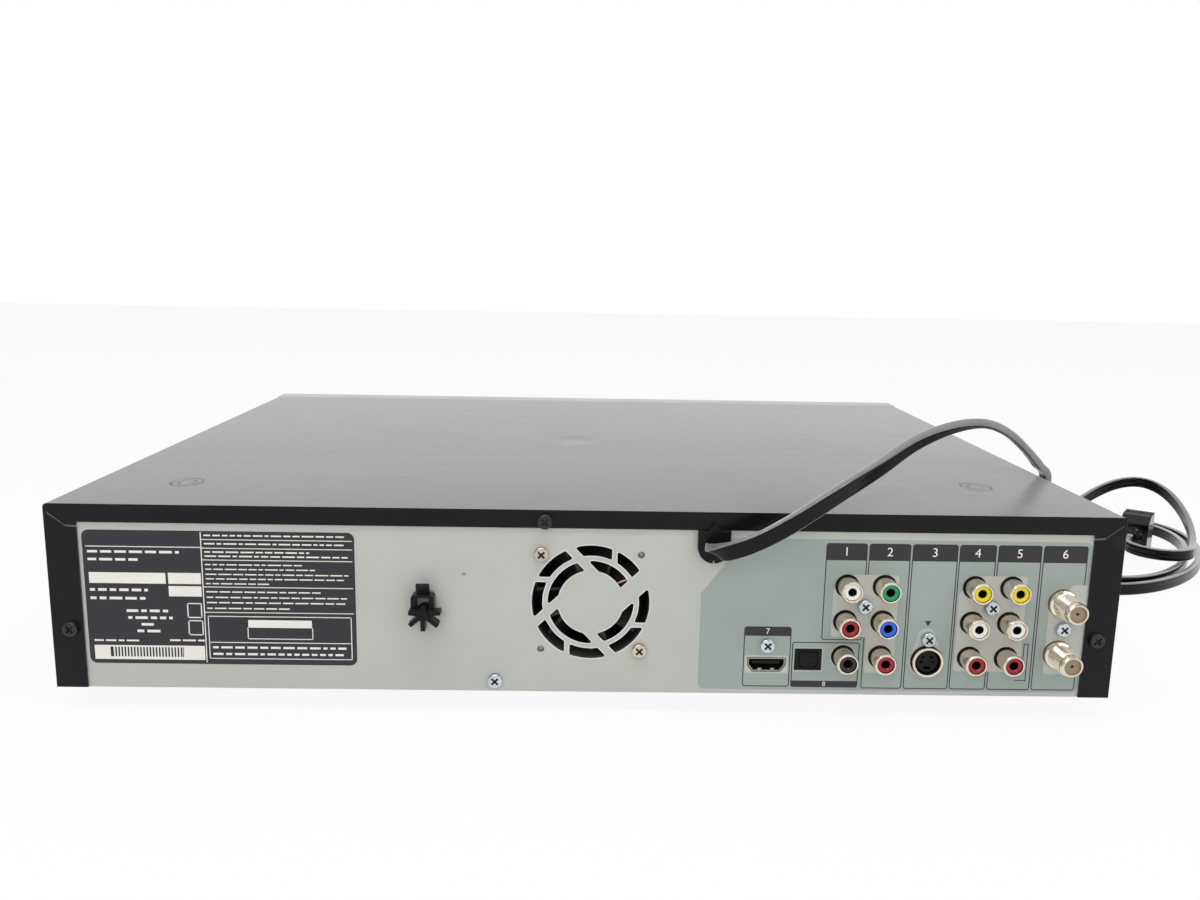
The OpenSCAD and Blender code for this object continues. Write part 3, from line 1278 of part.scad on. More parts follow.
// ---- disc drive
drive_y0 = joint_y + 3;
drive_z0 = floor_z + 3;
lid_z = tray_z + 12;
drive_wall = 2;
tray_half = drive_w / 2 - drive_wall - 2;
tray_t = 6.5;
tray_y0 = front_y + 5.4;
tray_len = 187;
disc_y = tray_y0 + 70;
rack_pitch_x = drive_x - tray_half + 12;
tray_gear_r = tray_tooth * tray_gear_teeth / 2;
tray_gear_x = rack_pitch_x + tray_gear_r;
tray_gear_y = drive_y0 + 20;
rack_gap_y = tray_gear_y - 3 * PI * tray_tooth;
rack_count = floor((tray_travel + 22) / (PI * tray_tooth));
pulley_r = 12;
motor_x = tray_gear_x + 44;
motor_y = tray_gear_y - 6;
pulley_z = tray_z - 8.6;
belt_r = 0.8;
small_pulley_r = 4;

module loader_frame() {
  x0 = drive_x - drive_w / 2;
  x1 = drive_x + drive_w / 2;
  rail_z = tray_z - slip;
  color([0.2, 0.2, 0.21]) difference() {
    union() {
      difference() {
        box(x0, x1, drive_y0, drive_back, drive_z0, lid_z - cover_t);
        box(x0 + drive_wall, x1 - drive_wall, drive_y0 + drive_wall, drive_back - drive_wall,
          drive_z0 + drive_wall, lid_z + 5);
      }
      // Rails at the tray's edges
      for (sx = [-1, 1]) {
        translate([drive_x + sx * (drive_w / 2 - 4), (drive_y0 + drive_back) / 2, rail_z - 1.25])
          cube([8, drive_d, 2.5], center = true);
        translate([drive_x + sx * (drive_w / 2 - 2.6), (drive_y0 + drive_back) / 2,
          tray_z + tray_t + slip + 1]) cube([5.2, drive_d, 2], center = true);
      }
      // Feet, gear post, motor seat, traverse pivots
      for (x = [x0 + 8, x1 - 8], y = [drive_y0 + 8, drive_back - 8])
        translate([x, y, floor_z]) cylinder(r = 5, h = drive_z0 - floor_z + eps, $fn = 24);
      translate([tray_gear_x, tray_gear_y, drive_z0 + eps]) cylinder(r = 4, h = pulley_z - 0.4 - drive_z0, $fn = 28);
      translate([tray_gear_x, tray_gear_y, drive_z0 + eps]) cylinder(r = 2.5, h = tray_z - 1 - drive_z0, $fn = 28);
      for (sx = [-1, 1]) translate([drive_x + sx * (traverse_half + 3.2), traverse_pivot_y, (drive_z0 + traverse_z + 4) / 2])
        cube([4, 9, traverse_z + 4 - drive_z0], center = true);
    }
    // Mouth for the tray
    box(drive_x - tray_half - 1, drive_x + tray_half + 1, drive_y0 - 1, drive_y0 + drive_wall + 1,
      tray_z - slip, lid_z + 5);
    box(drive_x - tray_half + 5, drive_x + tray_half - 5, drive_y0 - 1, drive_y0 + drive_wall + 1,
      tray_z - 6, tray_z + 1);
    rod_x(drive_x, traverse_pivot_y, traverse_pivot_z, 2 + run, 2 * traverse_half + 20, 28);
    box(drive_x - 34, drive_x + 34, disc_y - 14, disc_y + 66, drive_z0 - 1, drive_z0 + drive_wall + 1);
  }
  // Loading motor with its shaft
  color([0.65, 0.65, 0.66]) translate([motor_x, motor_y, drive_z0 + drive_wall]) {
    cylinder(r = 9, h = pulley_z - 3 - drive_z0 - drive_wall, $fn = 36);
    cylinder(r = 1, h = pulley_z + 3.6 - drive_z0 - drive_wall, $fn = 20);
  }
}

module drive_lid() {
  x0 = drive_x - drive_w / 2;
  x1 = drive_x + drive_w / 2;
  color([0.7, 0.71, 0.73]) difference() {
    union() {
      box(x0 - 1, x1 + 1, drive_y0, drive_back, lid_z - cover_t, lid_z);
      for (sx = [-1, 1]) translate([drive_x + sx * (drive_w / 2 + 0.6), (drive_y0 + drive_back) / 2, lid_z - 5])
        cube([0.8, drive_d, 10], center = true);
    }
    translate([drive_x, disc_y, lid_z - 3]) cylinder(r = 12.5, h = 6, $fn = 40);
    for (a = [0 : 90 : 270]) translate([drive_x, disc_y, lid_z - 3]) rotate(a + 45) translate([36, 0, 0])
      linear_extrude(6) round_rect(16, 10, 3);
  }
}

module clamp_disc() {
  color([0.9, 0.9, 0.88]) translate([drive_x, disc_y, 0]) rotate_extrude($fn = 44)
    polygon([[0, lid_z - 4.4], [13, lid_z - 4.4], [15, lid_z - 3.6], [15, lid_z - cover_t - slip - 0.5],
      [11.5, lid_z - cover_t - slip - 0.5], [11.5, lid_z + slip], [15, lid_z + slip], [15, lid_z + slip + 1.2],
      [6, lid_z + slip + 1.2], [5, lid_z + slip + 0.6], [0, lid_z + slip + 0.6]]);
}

module disc_tray() {
  floor_120 = tray_z + tray_t - 2.2;
  floor_80 = floor_120 - 1.2;
  color([0.17, 0.17, 0.18]) difference() {
    union() {
      box(drive_x - tray_half, drive_x + tray_half, tray_y0, tray_y0 + tray_len, tray_z, tray_z + tray_t);
      translate([rack_pitch_x, rack_gap_y, tray_z - 4.2]) linear_extrude(4.2 + eps)
        rack_2d(tray_tooth, rack_count, 3);
    }
    translate([drive_x, disc_y, floor_120]) cylinder(r = disc_dia / 2 + 0.8, h = 10, $fn = 90);
    translate([drive_x, disc_y, floor_80]) cylinder(r = small_disc_dia / 2 + 0.8, h = 10, $fn = 72);
    translate([drive_x, disc_y, tray_z - 6]) cylinder(r = 18, h = 20, $fn = 48);
    box(drive_x - 18, drive_x + 18, disc_y, tray_y0 + tray_len + 1, tray_z - 6, tray_z + 10);
    // Finger dips round the disc
    for (a = [45, 135]) translate([drive_x + (disc_dia / 2 + 2) * cos(-a), disc_y + (disc_dia / 2 + 2) * sin(-a),
      floor_80]) cylinder(r = 10, h = 10, $fn = 36);
  }
}

module tray_front() {
  z0 = tray_front_z - tray_front_h / 2;
  color([0.72, 0.73, 0.75]) difference() {
    union() {
      box(drive_x - tray_front_half, drive_x + tray_front_half, front_y + 0.5, tray_y0, z0, z0 + tray_front_h);
    }
    // Lip that a fingertip finds
    box(drive_x - 30, drive_x + 30, front_y, front_y + 1.3, z0 - 1, z0 + 2);
    box(drive_x - tray_front_half + 3, drive_x + tray_front_half - 3, front_y + 3, tray_y0 + 1,
      z0 + 1.6, tray_z);
    box(drive_x - tray_front_half + 3, drive_x + tray_front_half - 3, front_y + 3, tray_y0 + 1,
      tray_z + tray_t, z0 + tray_front_h - 1.6);
  }
}

module tray_gear() {
  color([0.93, 0.93, 0.9]) translate([tray_gear_x, tray_gear_y, 0]) difference() {
    union() {
      translate([0, 0, tray_z - 4.2]) rotate(180) linear_extrude(3.6) gear_2d(tray_tooth, tray_gear_teeth);
      translate([0, 0, pulley_z]) rotate_extrude($fn = 48)
        polygon([[0, 0], [pulley_r, 0], [pulley_r - 1.2, 1.2], [pulley_r - 1.2, 2.4], [pulley_r, 3.6],
          [6, 3.6], [6, 4.5], [0, 4.5]]);
    }
    translate([0, 0, pulley_z - 1]) cylinder(r = 2.5 + run, h = 20, $fn = 28);
  }
}

module motor_pulley() {
  color([0.85, 0.85, 0.82]) translate([motor_x, motor_y, pulley_z]) difference() {
    rotate_extrude($fn = 32) polygon([[0, 0], [small_pulley_r + 1.2, 0], [small_pulley_r, 1.2],
      [small_pulley_r, 2.4], [small_pulley_r + 1.2, 3.6], [0, 3.6]]);
    translate([0, 0, -1]) cylinder(r = 1 + run, h = 6, $fn = 20);
  }
}

// Belt round both pulleys, just clear of their grooves
module drive_belt() {
  d = [motor_x - tray_gear_x, motor_y - tray_gear_y];
  r1 = pulley_r - 1.2 + slip;
  r2 = small_pulley_r + slip;
  color([0.08, 0.08, 0.08]) translate([tray_gear_x, tray_gear_y, pulley_z + 1.3]) rotate(atan2(d[1], d[0]))
    linear_extrude(1) difference() {
      belt_outline(norm(d), r1 + belt_r, r2 + belt_r);
      belt_outline(norm(d), r1, r2);
    }
}

module belt_outline(far, r1, r2) {
  lean = asin((r1 - r2) / far);
  polygon(concat(
    [for (k = [0 : 24]) let (a = 90 - lean + k * (180 + 2 * lean) / 24) r1 * [cos(a), sin(a)]],
    [for (k = [0 : 12]) let (a = -90 + lean + k * (180 - 2 * lean) / 12) [far, 0] + r2 * [cos(a), sin(a)]]));
}

// ---- traverse and pickup
traverse_half = 42;
traverse_z = tray_z - 13;      // underside of the traverse plate
traverse_t = 3;
traverse_y0 = disc_y - 28;
traverse_y1 = disc_y + 90;
traverse_pivot_y = disc_y + 94;
traverse_pivot_z = traverse_z + 1.5;
rail_x = 24;
rail_z = traverse_z + traverse_t + 4.2;
rail_r = 1.5;
sled_y0 = disc_y + 15.5;
sled_len = 28;
feed_tooth = 0.8;
feed_teeth = 16;
feed_r = feed_tooth * feed_teeth / 2;
feed_gaps = ceil((sled_travel + 8) / (PI * feed_tooth));
feed_rack_x = rail_x + 8.5;
feed_x = drive_x + feed_rack_x + feed_r;
feed_y = disc_y + 26;
hub_top = tray_z + tray_t - 1.4;

module traverse_frame() {
  color([0.3, 0.3, 0.32]) difference() {
    union() {
      box(drive_x - traverse_half, drive_x + traverse_half, traverse_y0, traverse_y1, traverse_z, traverse_z + traverse_t);
      for (sx = [-1, 1]) translate([drive_x + sx * (traverse_half - 1), (traverse_y0 + traverse_y1) / 2, traverse_z - 2])
        cube([2, traverse_y1 - traverse_y0, 5], center = true);
      // Rear bar with the pivot pins
      box(drive_x - traverse_half, drive_x + traverse_half, traverse_y1 - 2, traverse_pivot_y + 3,
        traverse_z - 1, traverse_z + traverse_t);
      rod_x(drive_x, traverse_pivot_y, traverse_pivot_z, 2, 2 * traverse_half + 9, 28);
      // Blocks that hold the rails
      for (sx = [-1, 1], y = [disc_y + 13, disc_y + 80])
        translate([drive_x + sx * rail_x, y, traverse_z + traverse_t + 3])
          cube([6, 2.4, 6 + 2 * eps], center = true);
      translate([feed_x, feed_y, traverse_z + 1]) cylinder(r = 1.5, h = 9, $fn = 24);
    }
    box(drive_x - 20, drive_x + 20, disc_y + 14.5, disc_y + 82, traverse_z - 6, traverse_z + 8);
    for (sx = [-1, 1]) rod_y(drive_x + sx * rail_x, disc_y + 11, rail_z, rail_r, 71, 24);
    translate([drive_x, disc_y, traverse_z - 6]) cylinder(r = 6, h = 12, $fn = 32);
  }
  // Rails and the spindle motor
  color("silver") for (sx = [-1, 1]) rod_y(drive_x + sx * rail_x, disc_y + 11.8, rail_z, rail_r, 69.4, 24);
  color([0.5, 0.5, 0.52]) translate([drive_x, disc_y, 0]) difference() {
    union() {
      translate([0, 0, traverse_z + traverse_t]) cylinder(r = 12.5, h = 9, $fn = 40);
      translate([0, 0, traverse_z - 3]) cylinder(r = 6 - 0.05, h = traverse_t + 3 + eps, $fn = 32);
    }
    translate([0, 0, traverse_z - 1]) cylinder(r = 1 + run, h = 30, $fn = 20);
  }
}

module turntable() {
  z0 = traverse_z + traverse_t + 9 + slip;
  color([0.2, 0.2, 0.2]) translate([drive_x, disc_y, 0]) union() {
    rotate_extrude($fn = 44) polygon([[0, z0], [11, z0], [14, z0 + 1], [14, hub_top], [8, hub_top],
      [7.4, hub_top + 0.9], [5.5, hub_top + 1.5], [0, hub_top + 1.5]]);
    translate([0, 0, traverse_z]) cylinder(r = 1, h = 14, $fn = 20);
  }
}

module pickup_sled() {
  z0 = traverse_z + traverse_t + 1;
  z1 = tray_z - 1.2;
  color([0.25, 0.25, 0.27]) difference() {
    union() {
      box(drive_x - rail_x - 3.5, drive_x + rail_x + 4.5, sled_y0, sled_y0 + sled_len, z0, z1);
      box(drive_x - 16, drive_x + 16, sled_y0, sled_y0 + sled_len, traverse_z - 2, z0 + eps);
      box(drive_x - 10, drive_x + 10, sled_y0 + 1, sled_y0 + 19, z1 - eps, tray_z + 2.4);
      // Rack that the feed gear drives
      translate([drive_x + feed_rack_x, feed_y - feed_gaps * PI * feed_tooth, z0 + 0.4])
        linear_extrude(3) rack_2d(feed_tooth, feed_gaps + 4, 4);
    }
    for (sx = [-1, 1]) rod_y(drive_x + sx * rail_x, sled_y0 - 1, rail_z, rail_r + run, sled_len + 2, 24);
    // Arch over the spindle motor
    translate([drive_x, disc_y, z0 - 8]) cylinder(r = 16, h = 30, $fn = 44);
    translate([drive_x, sled_y0 + 10, tray_z + 1]) cylinder(r = 4.2, h = 5, $fn = 28);
  }
  color([0.5, 0.6, 0.8]) translate([drive_x, sled_y0 + 10, tray_z + 1])
    cylinder(r1 = 3.8, r2 = 2.6, h = 1.6, $fn = 28);
}

module feed_gear() {
  z0 = traverse_z + traverse_t;
  color([0.93, 0.93, 0.9]) translate([feed_x, feed_y, z0 + slip]) difference() {
    union() {
      translate([0, 0, 1]) rotate(180) linear_extrude(3.2) gear_2d(feed_tooth, feed_teeth);
      cylinder(r = 3.4, h = 5, $fn = 24);
    }
    translate([0, 0, -1]) cylinder(r = 1.5 + run, h = 10, $fn = 24);
  }
}

// ---- what is drawn
chassis_pan();
rear_panel();
top_cover();
front_bezel();
display_window();
feet();
cover_screws();
panel_screws();
fan_frame();
fan_rotor();
cord_clip();
strain_relief();
jack_shells();
jack_housings();
inserts_white();
inserts_red();
inserts_yellow();
insert_green();
insert_blue();
insert_black();
svideo_socket();
hdmi_socket();
optical_jack();
optical_shutter();
tuner_box();
power_cord();
cord_coil();
power_plug();
main_board();
power_board();
front_board();
deck_plate();
drum_base();
drum_top();
capstan();
pinch_arm();
pinch_roller();
supply_reel();
takeup_reel();
cassette_carriage();
cassette_door();
jack_flap();
loader_frame();
drive_lid();
drive_belt();
disc_tray();
tray_front();
tray_gear();
motor_pulley();
traverse_frame();
turntable();
pickup_sled();
feed_gear();
clamp_disc();
power_button();
tray_button();
eject_button();
play_button();
stop_button();
record_button();
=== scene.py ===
# %% [markdown]
# # A disc and videocassette player, seen from behind
# The construction model gives every rigid piece. This script gives them their surfaces and adds
# what construction leaves out: the cord's profile, the fan's lead, print, pale strips of painted
# highlight on the grille's rims, a ring and two threads on the sockets. Then it lights and frames
# the object as in a plain studio picture. Lengths are in metres, in the model's frame; `MM` turns
# those given in millimetres.

# %% Frame
import bpy
import bmesh
import json
import random
from math import cos, hypot, pi, radians, sin
from mathutils import Matrix, Vector

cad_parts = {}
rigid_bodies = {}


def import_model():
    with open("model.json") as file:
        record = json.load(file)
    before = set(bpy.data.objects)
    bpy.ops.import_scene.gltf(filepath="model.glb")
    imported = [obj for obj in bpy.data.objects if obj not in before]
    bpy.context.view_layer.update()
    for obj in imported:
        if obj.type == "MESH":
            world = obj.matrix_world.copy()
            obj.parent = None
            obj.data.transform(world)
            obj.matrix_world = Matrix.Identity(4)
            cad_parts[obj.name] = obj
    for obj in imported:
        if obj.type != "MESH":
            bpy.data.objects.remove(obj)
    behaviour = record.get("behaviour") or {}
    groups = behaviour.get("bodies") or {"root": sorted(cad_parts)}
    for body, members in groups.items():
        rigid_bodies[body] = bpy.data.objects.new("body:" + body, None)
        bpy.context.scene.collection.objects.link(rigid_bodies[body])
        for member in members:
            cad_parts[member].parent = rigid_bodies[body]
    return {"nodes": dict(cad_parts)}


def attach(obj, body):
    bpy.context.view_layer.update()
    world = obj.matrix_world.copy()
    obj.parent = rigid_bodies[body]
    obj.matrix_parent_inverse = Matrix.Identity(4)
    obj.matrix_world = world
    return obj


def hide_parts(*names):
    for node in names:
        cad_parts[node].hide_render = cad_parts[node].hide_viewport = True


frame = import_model()
nodes = frame["nodes"]
scene = bpy.context.scene
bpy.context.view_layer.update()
MM = 0.001
print("pieces from the construction model:", len(nodes))

# %% [markdown]
# ## Camera
# A pinhole camera fitted to the corners of the rear face: it stands 0.4 m behind the panel, a
# little above the cover, and looks down by ten degrees. An orbit camera would be quicker to set,
# but its lens and distance would then be guesses, and the perspective of the cover would be off.

# %% Camera
cam_data = bpy.data.cameras.new("camera")
cam_data.sensor_width = 36.0
cam_data.lens = 31.0
cam_data.clip_start = 0.01
cam_data.clip_end = 50
camera = bpy.data.objects.new("camera", cam_data)
scene.collection.objects.link(camera)
camera.matrix_world = Matrix((
    (-0.99974, 0.014658, 0.017452, 0.0036),
    (0.014484, -0.182639, 0.983073, 0.5585),
    (0.017597, 0.983071, 0.182379, 0.1837),
    (0, 0, 0, 1)))
scene.camera = camera
scene.view_settings.view_transform = "Standard"
print("camera at", tuple(round(v, 3) for v in camera.location))

# %% [markdown]
# ## The free cord
# A flat two-core power cord leaves the bush, arches over the cover, drops down the side and ends
# in a loose oval coil on the table. It follows the same points as the construction model. The
# first ones are given from the bush over the cover, and then beside the body.

# %% Points from the bush to the coil
HALF_W, REAR, TOP = 0.215, 0.1609, 0.0855
BUSH_X = -0.0008 - 0.0488
SIDE = -HALF_W
COIL_MID = Vector((SIDE - 0.123, REAR - 0.240, 0.0036))
COIL_LONG, COIL_WIDE, COIL_STEP = 0.095, 0.052, 0.0075
FAR = Vector((-0.6, -0.8, 0))
NEAR_SIDE = Vector((0.8, -0.6, 0))
CORD_END = COIL_MID + NEAR_SIDE * COIL_WIDE


def over(u, y, z):
    """From the bush (u = 0) to the cover's side (u = 1), with y and z in mm."""
    return Vector((BUSH_X + (SIDE - BUSH_X) * u, REAR + y * MM, TOP + z * MM))


def beside(x, y, z):
    return Vector((SIDE + x * MM, REAR + y * MM, z * MM))


route = [
    over(0, -0.4, -14.2), over(0, 6, -14.2), over(0.03, 12, -12.5), over(0.09, 14.5, -8),
    over(0.17, 13, -1), over(0.28, 5, 8.5), over(0.4, -8, 17), over(0.52, -24, 25),
    over(0.64, -38, 29.3), over(0.75, -50, 29.3), over(0.84, -61, 24), over(0.92, -71, 15),
    over(0.985, -80, 6), beside(-4.2, -85, 83.5), beside(-3.6, -90, 61.5),
    beside(-3.6, -94, 42), beside(-4, -100, 24), beside(-6, -112, 10), beside(-10, -128, 4.6),
    beside(-19, -160, 3.6), CORD_END - 0.072 * FAR, CORD_END - 0.042 * FAR,
    CORD_END - 0.008 * FAR, CORD_END]
turn = [Vector(v) for v in [
    (1, 0, 0), (1, 0, 0.5), (0.5, 0, 1), (0.2, 0, 1), (0.1, 0, 1), (0, 0.05, 1), (0, 0.2, 1),
    (0, 0.6, 1), (0, 1, 0.7), (0, 1, 0.25), (0, 1, 0), (0, 1, -0.1)] + [(0, 1, 0)] * 4 + [
    (0, 1, -0.3), (0, 0.6, -0.8)] + [(0, 0, -1)] * 6]
print("points of the route:", len(route))

# %% [markdown]
# The coil is an oval that grows narrower for a turn and a half, climbs for half a turn, and lies
# over itself for its last half turn. A tail then bends back to the plug. A formula gives even
# points; points set by hand would show as corners.

# %% Coil and tail
COIL_TURNS, TURN_STEPS, TAIL_R = 2.5, 72, 0.018


def smooth(p, i, t):
    a, b, c, d = p[max(i - 1, 0)], p[i], p[min(i + 1, len(p) - 1)], p[min(i + 2, len(p) - 1)]
    return 0.5 * (2 * b + (c - a) * t + (2 * a - 5 * b + 4 * c - d) * t * t
                  + (3 * b - a - 3 * c + d) * t ** 3)


def dense(p, k):
    return [smooth(p, i, j / k) for i in range(len(p) - 1) for j in range(k)] + [p[-1]]


def ease(x):
    c = min(1, max(0, x))
    return c * c * (3 - 2 * c)


def coil_at(t):
    s = t if t < 1.5 else 1.5 if t < 2 else 3.5 - t
    up, far = ease(2 * t - 3), max(0, sin(2 * pi * t))
    return (COIL_MID + FAR * (COIL_LONG - COIL_STEP * s) * sin(2 * pi * t)
            + NEAR_SIDE * (COIL_WIDE - COIL_STEP * s) * cos(2 * pi * t)
            + Vector((0, 0, up * (0.0078 + 0.024 * far * far))))


tail_from = coil_at(COIL_TURNS)
PLUG_AT = tail_from + NEAR_SIDE * 2 * TAIL_R + FAR * 0.010
coil = [coil_at(k / TURN_STEPS) for k in range(2, int(COIL_TURNS * TURN_STEPS) + 1)]
coil += [tail_from + NEAR_SIDE * TAIL_R * (1 - cos(radians(a)))
         - FAR * TAIL_R * sin(radians(a)) for a in range(9, 181, 9)]
coil += [tail_from + NEAR_SIDE * 2 * TAIL_R + FAR * 0.005, PLUG_AT]
path = dense(route, 8) + coil
wide = dense(turn, 8) + [Vector((0, 0, -1))] * len(coil)
print("points along the cord:", len(path))

# %% [markdown]
# The cord is a swept tube with the real section: two nearly flat faces with a very shallow groove
# along their middle, and round edges. A curve with a bevel object would twist where the path
# turns, so each ring is placed by its own direction.

# %% Cord
CORD_HALF_W, CORD_HALF_T, EDGE_R = 0.0035, 0.0018, 0.0009
section = [(0.0, 0.00168), (0.0006, 0.00178)]
section += [(CORD_HALF_W - EDGE_R + EDGE_R * cos(radians(a)),
             CORD_HALF_T - EDGE_R + EDGE_R * sin(radians(a))) for a in (90, 65, 40, 15)]
section += [(u, -v) for u, v in section[::-1]]
section += [(-u, v) for u, v in section[1:-1][::-1]]


def piece(name, bm, smooth_faces=False):
    mesh = bpy.data.meshes.new(name)
    bm.to_mesh(mesh)
    bm.free()
    for p in mesh.polygons:
        p.use_smooth = smooth_faces
    ob = bpy.data.objects.new(name, mesh)
    scene.collection.objects.link(ob)
    return ob


def flat_tube(name, centre, across, outline):
    bm = bmesh.new()
    rings = []
    for i, c in enumerate(centre):
        way = (centre[min(i + 1, len(centre) - 1)] - centre[max(i - 1, 0)]).normalized()
        w = (across[i] - way * across[i].dot(way)).normalized()
        h = way.cross(w)
        rings.append([bm.verts.new(c + w * u + h * v) for u, v in outline])
    for a, b in zip(rings, rings[1:]):
        for k in range(len(outline)):
            m = (k + 1) % len(outline)
            bm.faces.new((a[k], a[m], b[m], b[k]))
    bm.faces.new(rings[0][::-1])
    bm.faces.new(rings[-1])
    bmesh.ops.recalc_face_normals(bm, faces=bm.faces)
    return piece(name, bm, smooth_faces=True)


cord = flat_tube("flat_cord", path, wide, section)
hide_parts("power_cord", "cord_coil")
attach(cord, "case")

# %% [markdown]
# ## Shared shading groups
# Real sheet metal and plastic differ less in colour than in how light breaks up on them, so
# every material takes its mottling, smudges, grain, dust and worn edges from the same few node
# groups. Each group gives only a mask, a value or a normal; the shader stays in the material.

# %% Shader helpers


def new_group(name, ins, outs):
    g = bpy.data.node_groups.new(name, "ShaderNodeTree")
    for n, kind, value in ins:
        s = g.interface.new_socket(n, in_out="INPUT", socket_type="NodeSocket" + kind)
        if value is not None:
            s.default_value = value
    for n, kind in outs:
        g.interface.new_socket(n, in_out="OUTPUT", socket_type="NodeSocket" + kind)
    print("group:", name)
    return g, g.nodes.new("NodeGroupInput"), g.nodes.new("NodeGroupOutput")


def put(tree, kind, values=None, **props):
    """Adds a node; each value is a socket to link or a constant to set."""
    n = tree.nodes.new(kind)
    for k, v in props.items():
        setattr(n, k, v)
    for k, v in (values or {}).items():
        if isinstance(v, bpy.types.NodeSocket):
            tree.links.new(v, n.inputs[k])
        else:
            n.inputs[k].default_value = v
    return n


def calc(tree, op, a, b=0.0, c=0.0, clamp=False):
    return put(tree, "ShaderNodeMath", {0: a, 1: b, 2: c}, operation=op,
               use_clamp=clamp).outputs[0]


def times(tree, first, *rest, clamp=False):
    """Two or more values multiplied, from the left."""
    for value in rest:
        first = calc(tree, "MULTIPLY", first, value, clamp=clamp)
    return first


def most(tree, first, *rest):
    """The greatest of two or more values."""
    for value in rest:
        first = calc(tree, "MAXIMUM", first, value)
    return first


def minus(tree, a, b):
    return calc(tree, "SUBTRACT", a, b)


def distance(tree, a, b):
    return calc(tree, "SQRT", calc(tree, "ADD", times(tree, a, a), times(tree, b, b)))


def fade(tree, value, start, end, **props):
    """0 at the start, 1 at the end, even between them and held outside."""
    return put(tree, "ShaderNodeMapRange", {"Value": value, "From Min": start, "From Max": end},
               **props).outputs[0]


def noise(tree, where, scale, detail, **values):
    return put(tree, "ShaderNodeTexNoise", {"Vector": where, "Scale": scale, "Detail": detail,
                                            **values}).outputs[0]


def bump(tree, height, depth, normal, strength=1.0):
    return put(tree, "ShaderNodeBump", {"Height": height, "Distance": depth,
                                        "Strength": strength, "Normal": normal}).outputs[0]


def blend(tree, factor, a, b, mode="MIX"):
    return put(tree, "ShaderNodeMix", {0: factor, 6: a, 7: b}, data_type="RGBA",
               blend_type=mode).outputs[2]


def use(tree, group, values):
    return put(tree, "ShaderNodeGroup", values, node_tree=group)


# %% [markdown]
# Noise that stays in a narrow band: used for slow mottling of colour and for smudges in gloss.
# A plain noise texture would spread over the whole range and look like clouds.

# %% Group: band noise
BAND, gi, go = new_group("band_noise", [
    ("Vector", "Vector", None), ("Scale", "Float", 40.0), ("Detail", "Float", 4.0),
    ("Low", "Float", 0.9), ("High", "Float", 1.1)], [("Value", "Float")])
n = noise(BAND, *gi.outputs[:3], Roughness=0.6)
r = put(BAND, "ShaderNodeMapRange", {"Value": n, "From Min": 0.3, "From Max": 0.7,
                                     "To Min": gi.outputs[3], "To Max": gi.outputs[4]})
BAND.links.new(r.outputs[0], go.inputs[0])

# %% [markdown]
# Fine grain as a bump: the tooth of paint or moulded plastic, from one noise. The height is a
# real one, in metres, so that it doesn't change with the render size.

# %% Group: grain
GRAIN, gi, go = new_group("grain", [
    ("Vector", "Vector", None), ("Scale", "Float", 2500.0), ("Height", "Float", 0.00001),
    ("Normal", "Vector", None)], [("Normal", "Vector")])
n = noise(GRAIN, gi.outputs[0], gi.outputs[1], 2.0)
GRAIN.links.new(bump(GRAIN, n, gi.outputs[2], gi.outputs[3]), go.inputs[0])

# %% [markdown]
# Dust lies on what faces up and thins out in patches. It is a mask from the surface direction
# times a noise, and not a texture painted on, so it also falls on small parts.

# %% Group: dust
DUST, gi, go = new_group("dust", [("Vector", "Vector", None), ("Amount", "Float", 0.2)],
                         [("Mask", "Float")])
geo = put(DUST, "ShaderNodeNewGeometry")
z = put(DUST, "ShaderNodeSeparateXYZ", {0: geo.outputs["Normal"]}).outputs[2]
up = most(DUST, z, 0.0)
patches = noise(DUST, gi.outputs[0], 90.0, 5.0)
grains = fade(DUST, noise(DUST, gi.outputs[0], 1800.0, 2.0), 0.52, 0.72)
k = times(DUST, up, up, patches, calc(DUST, "ADD", grains, 0.35))
DUST.links.new(times(DUST, k, gi.outputs[1], clamp=True), go.inputs[0])

# %% [markdown]
# Edges catch wear first. The mask compares the surface with a rounded copy of itself, which is
# large only at edges, and breaks it up with noise so that the wear isn't an even line.

# %% Group: worn edges
EDGE, gi, go = new_group("worn_edges", [
    ("Vector", "Vector", None), ("Radius", "Float", 0.0004), ("Amount", "Float", 0.5)],
    [("Mask", "Float")])
bev = put(EDGE, "ShaderNodeBevel", {"Radius": gi.outputs[1]}, samples=4)
geo = put(EDGE, "ShaderNodeNewGeometry")
dot = put(EDGE, "ShaderNodeVectorMath", {0: bev.outputs[0], 1: geo.outputs["Normal"]},
          operation="DOT_PRODUCT")
k = times(EDGE, fade(EDGE, dot.outputs["Value"], 0.985, 0.86),
          fade(EDGE, noise(EDGE, gi.outputs[0], 260.0, 4.0), 0.42, 0.62))
EDGE.links.new(times(EDGE, k, gi.outputs[2], clamp=True), go.inputs[0])

# %% [markdown]
# Fine scratches: a noise stretched a hundredfold along one way and cut to its thin crests. Three
# of them at different angles make the crossed marks of handling.

# %% Group: scratches
SCRATCH, gi, go = new_group("scratches", [("Vector", "Vector", None), ("Amount", "Float", 0.5)],
                            [("Mask", "Float")])
crests = []
for angle, scale in ((0.5, 60.0), (2.1, 45.0), (1.2, 80.0)):
    m = put(SCRATCH, "ShaderNodeMapping", {0: gi.outputs[0], "Rotation": (0.0, 0.0, angle),
                                           "Scale": (scale * 0.12, scale * 14, scale)})
    crests.append(fade(SCRATCH, noise(SCRATCH, m.outputs[0], 1.0, 1.0), 0.735, 0.76))
k = most(SCRATCH, *crests)
SCRATCH.links.new(times(SCRATCH, k, gi.outputs[1], clamp=True), go.inputs[0])

# %% [markdown]
# A rounded rectangle as a mask, from the distance to its outline. Print on the panel is drawn
# with it, because the panel's own holes then stay holes, which a laid-on sheet would cover.

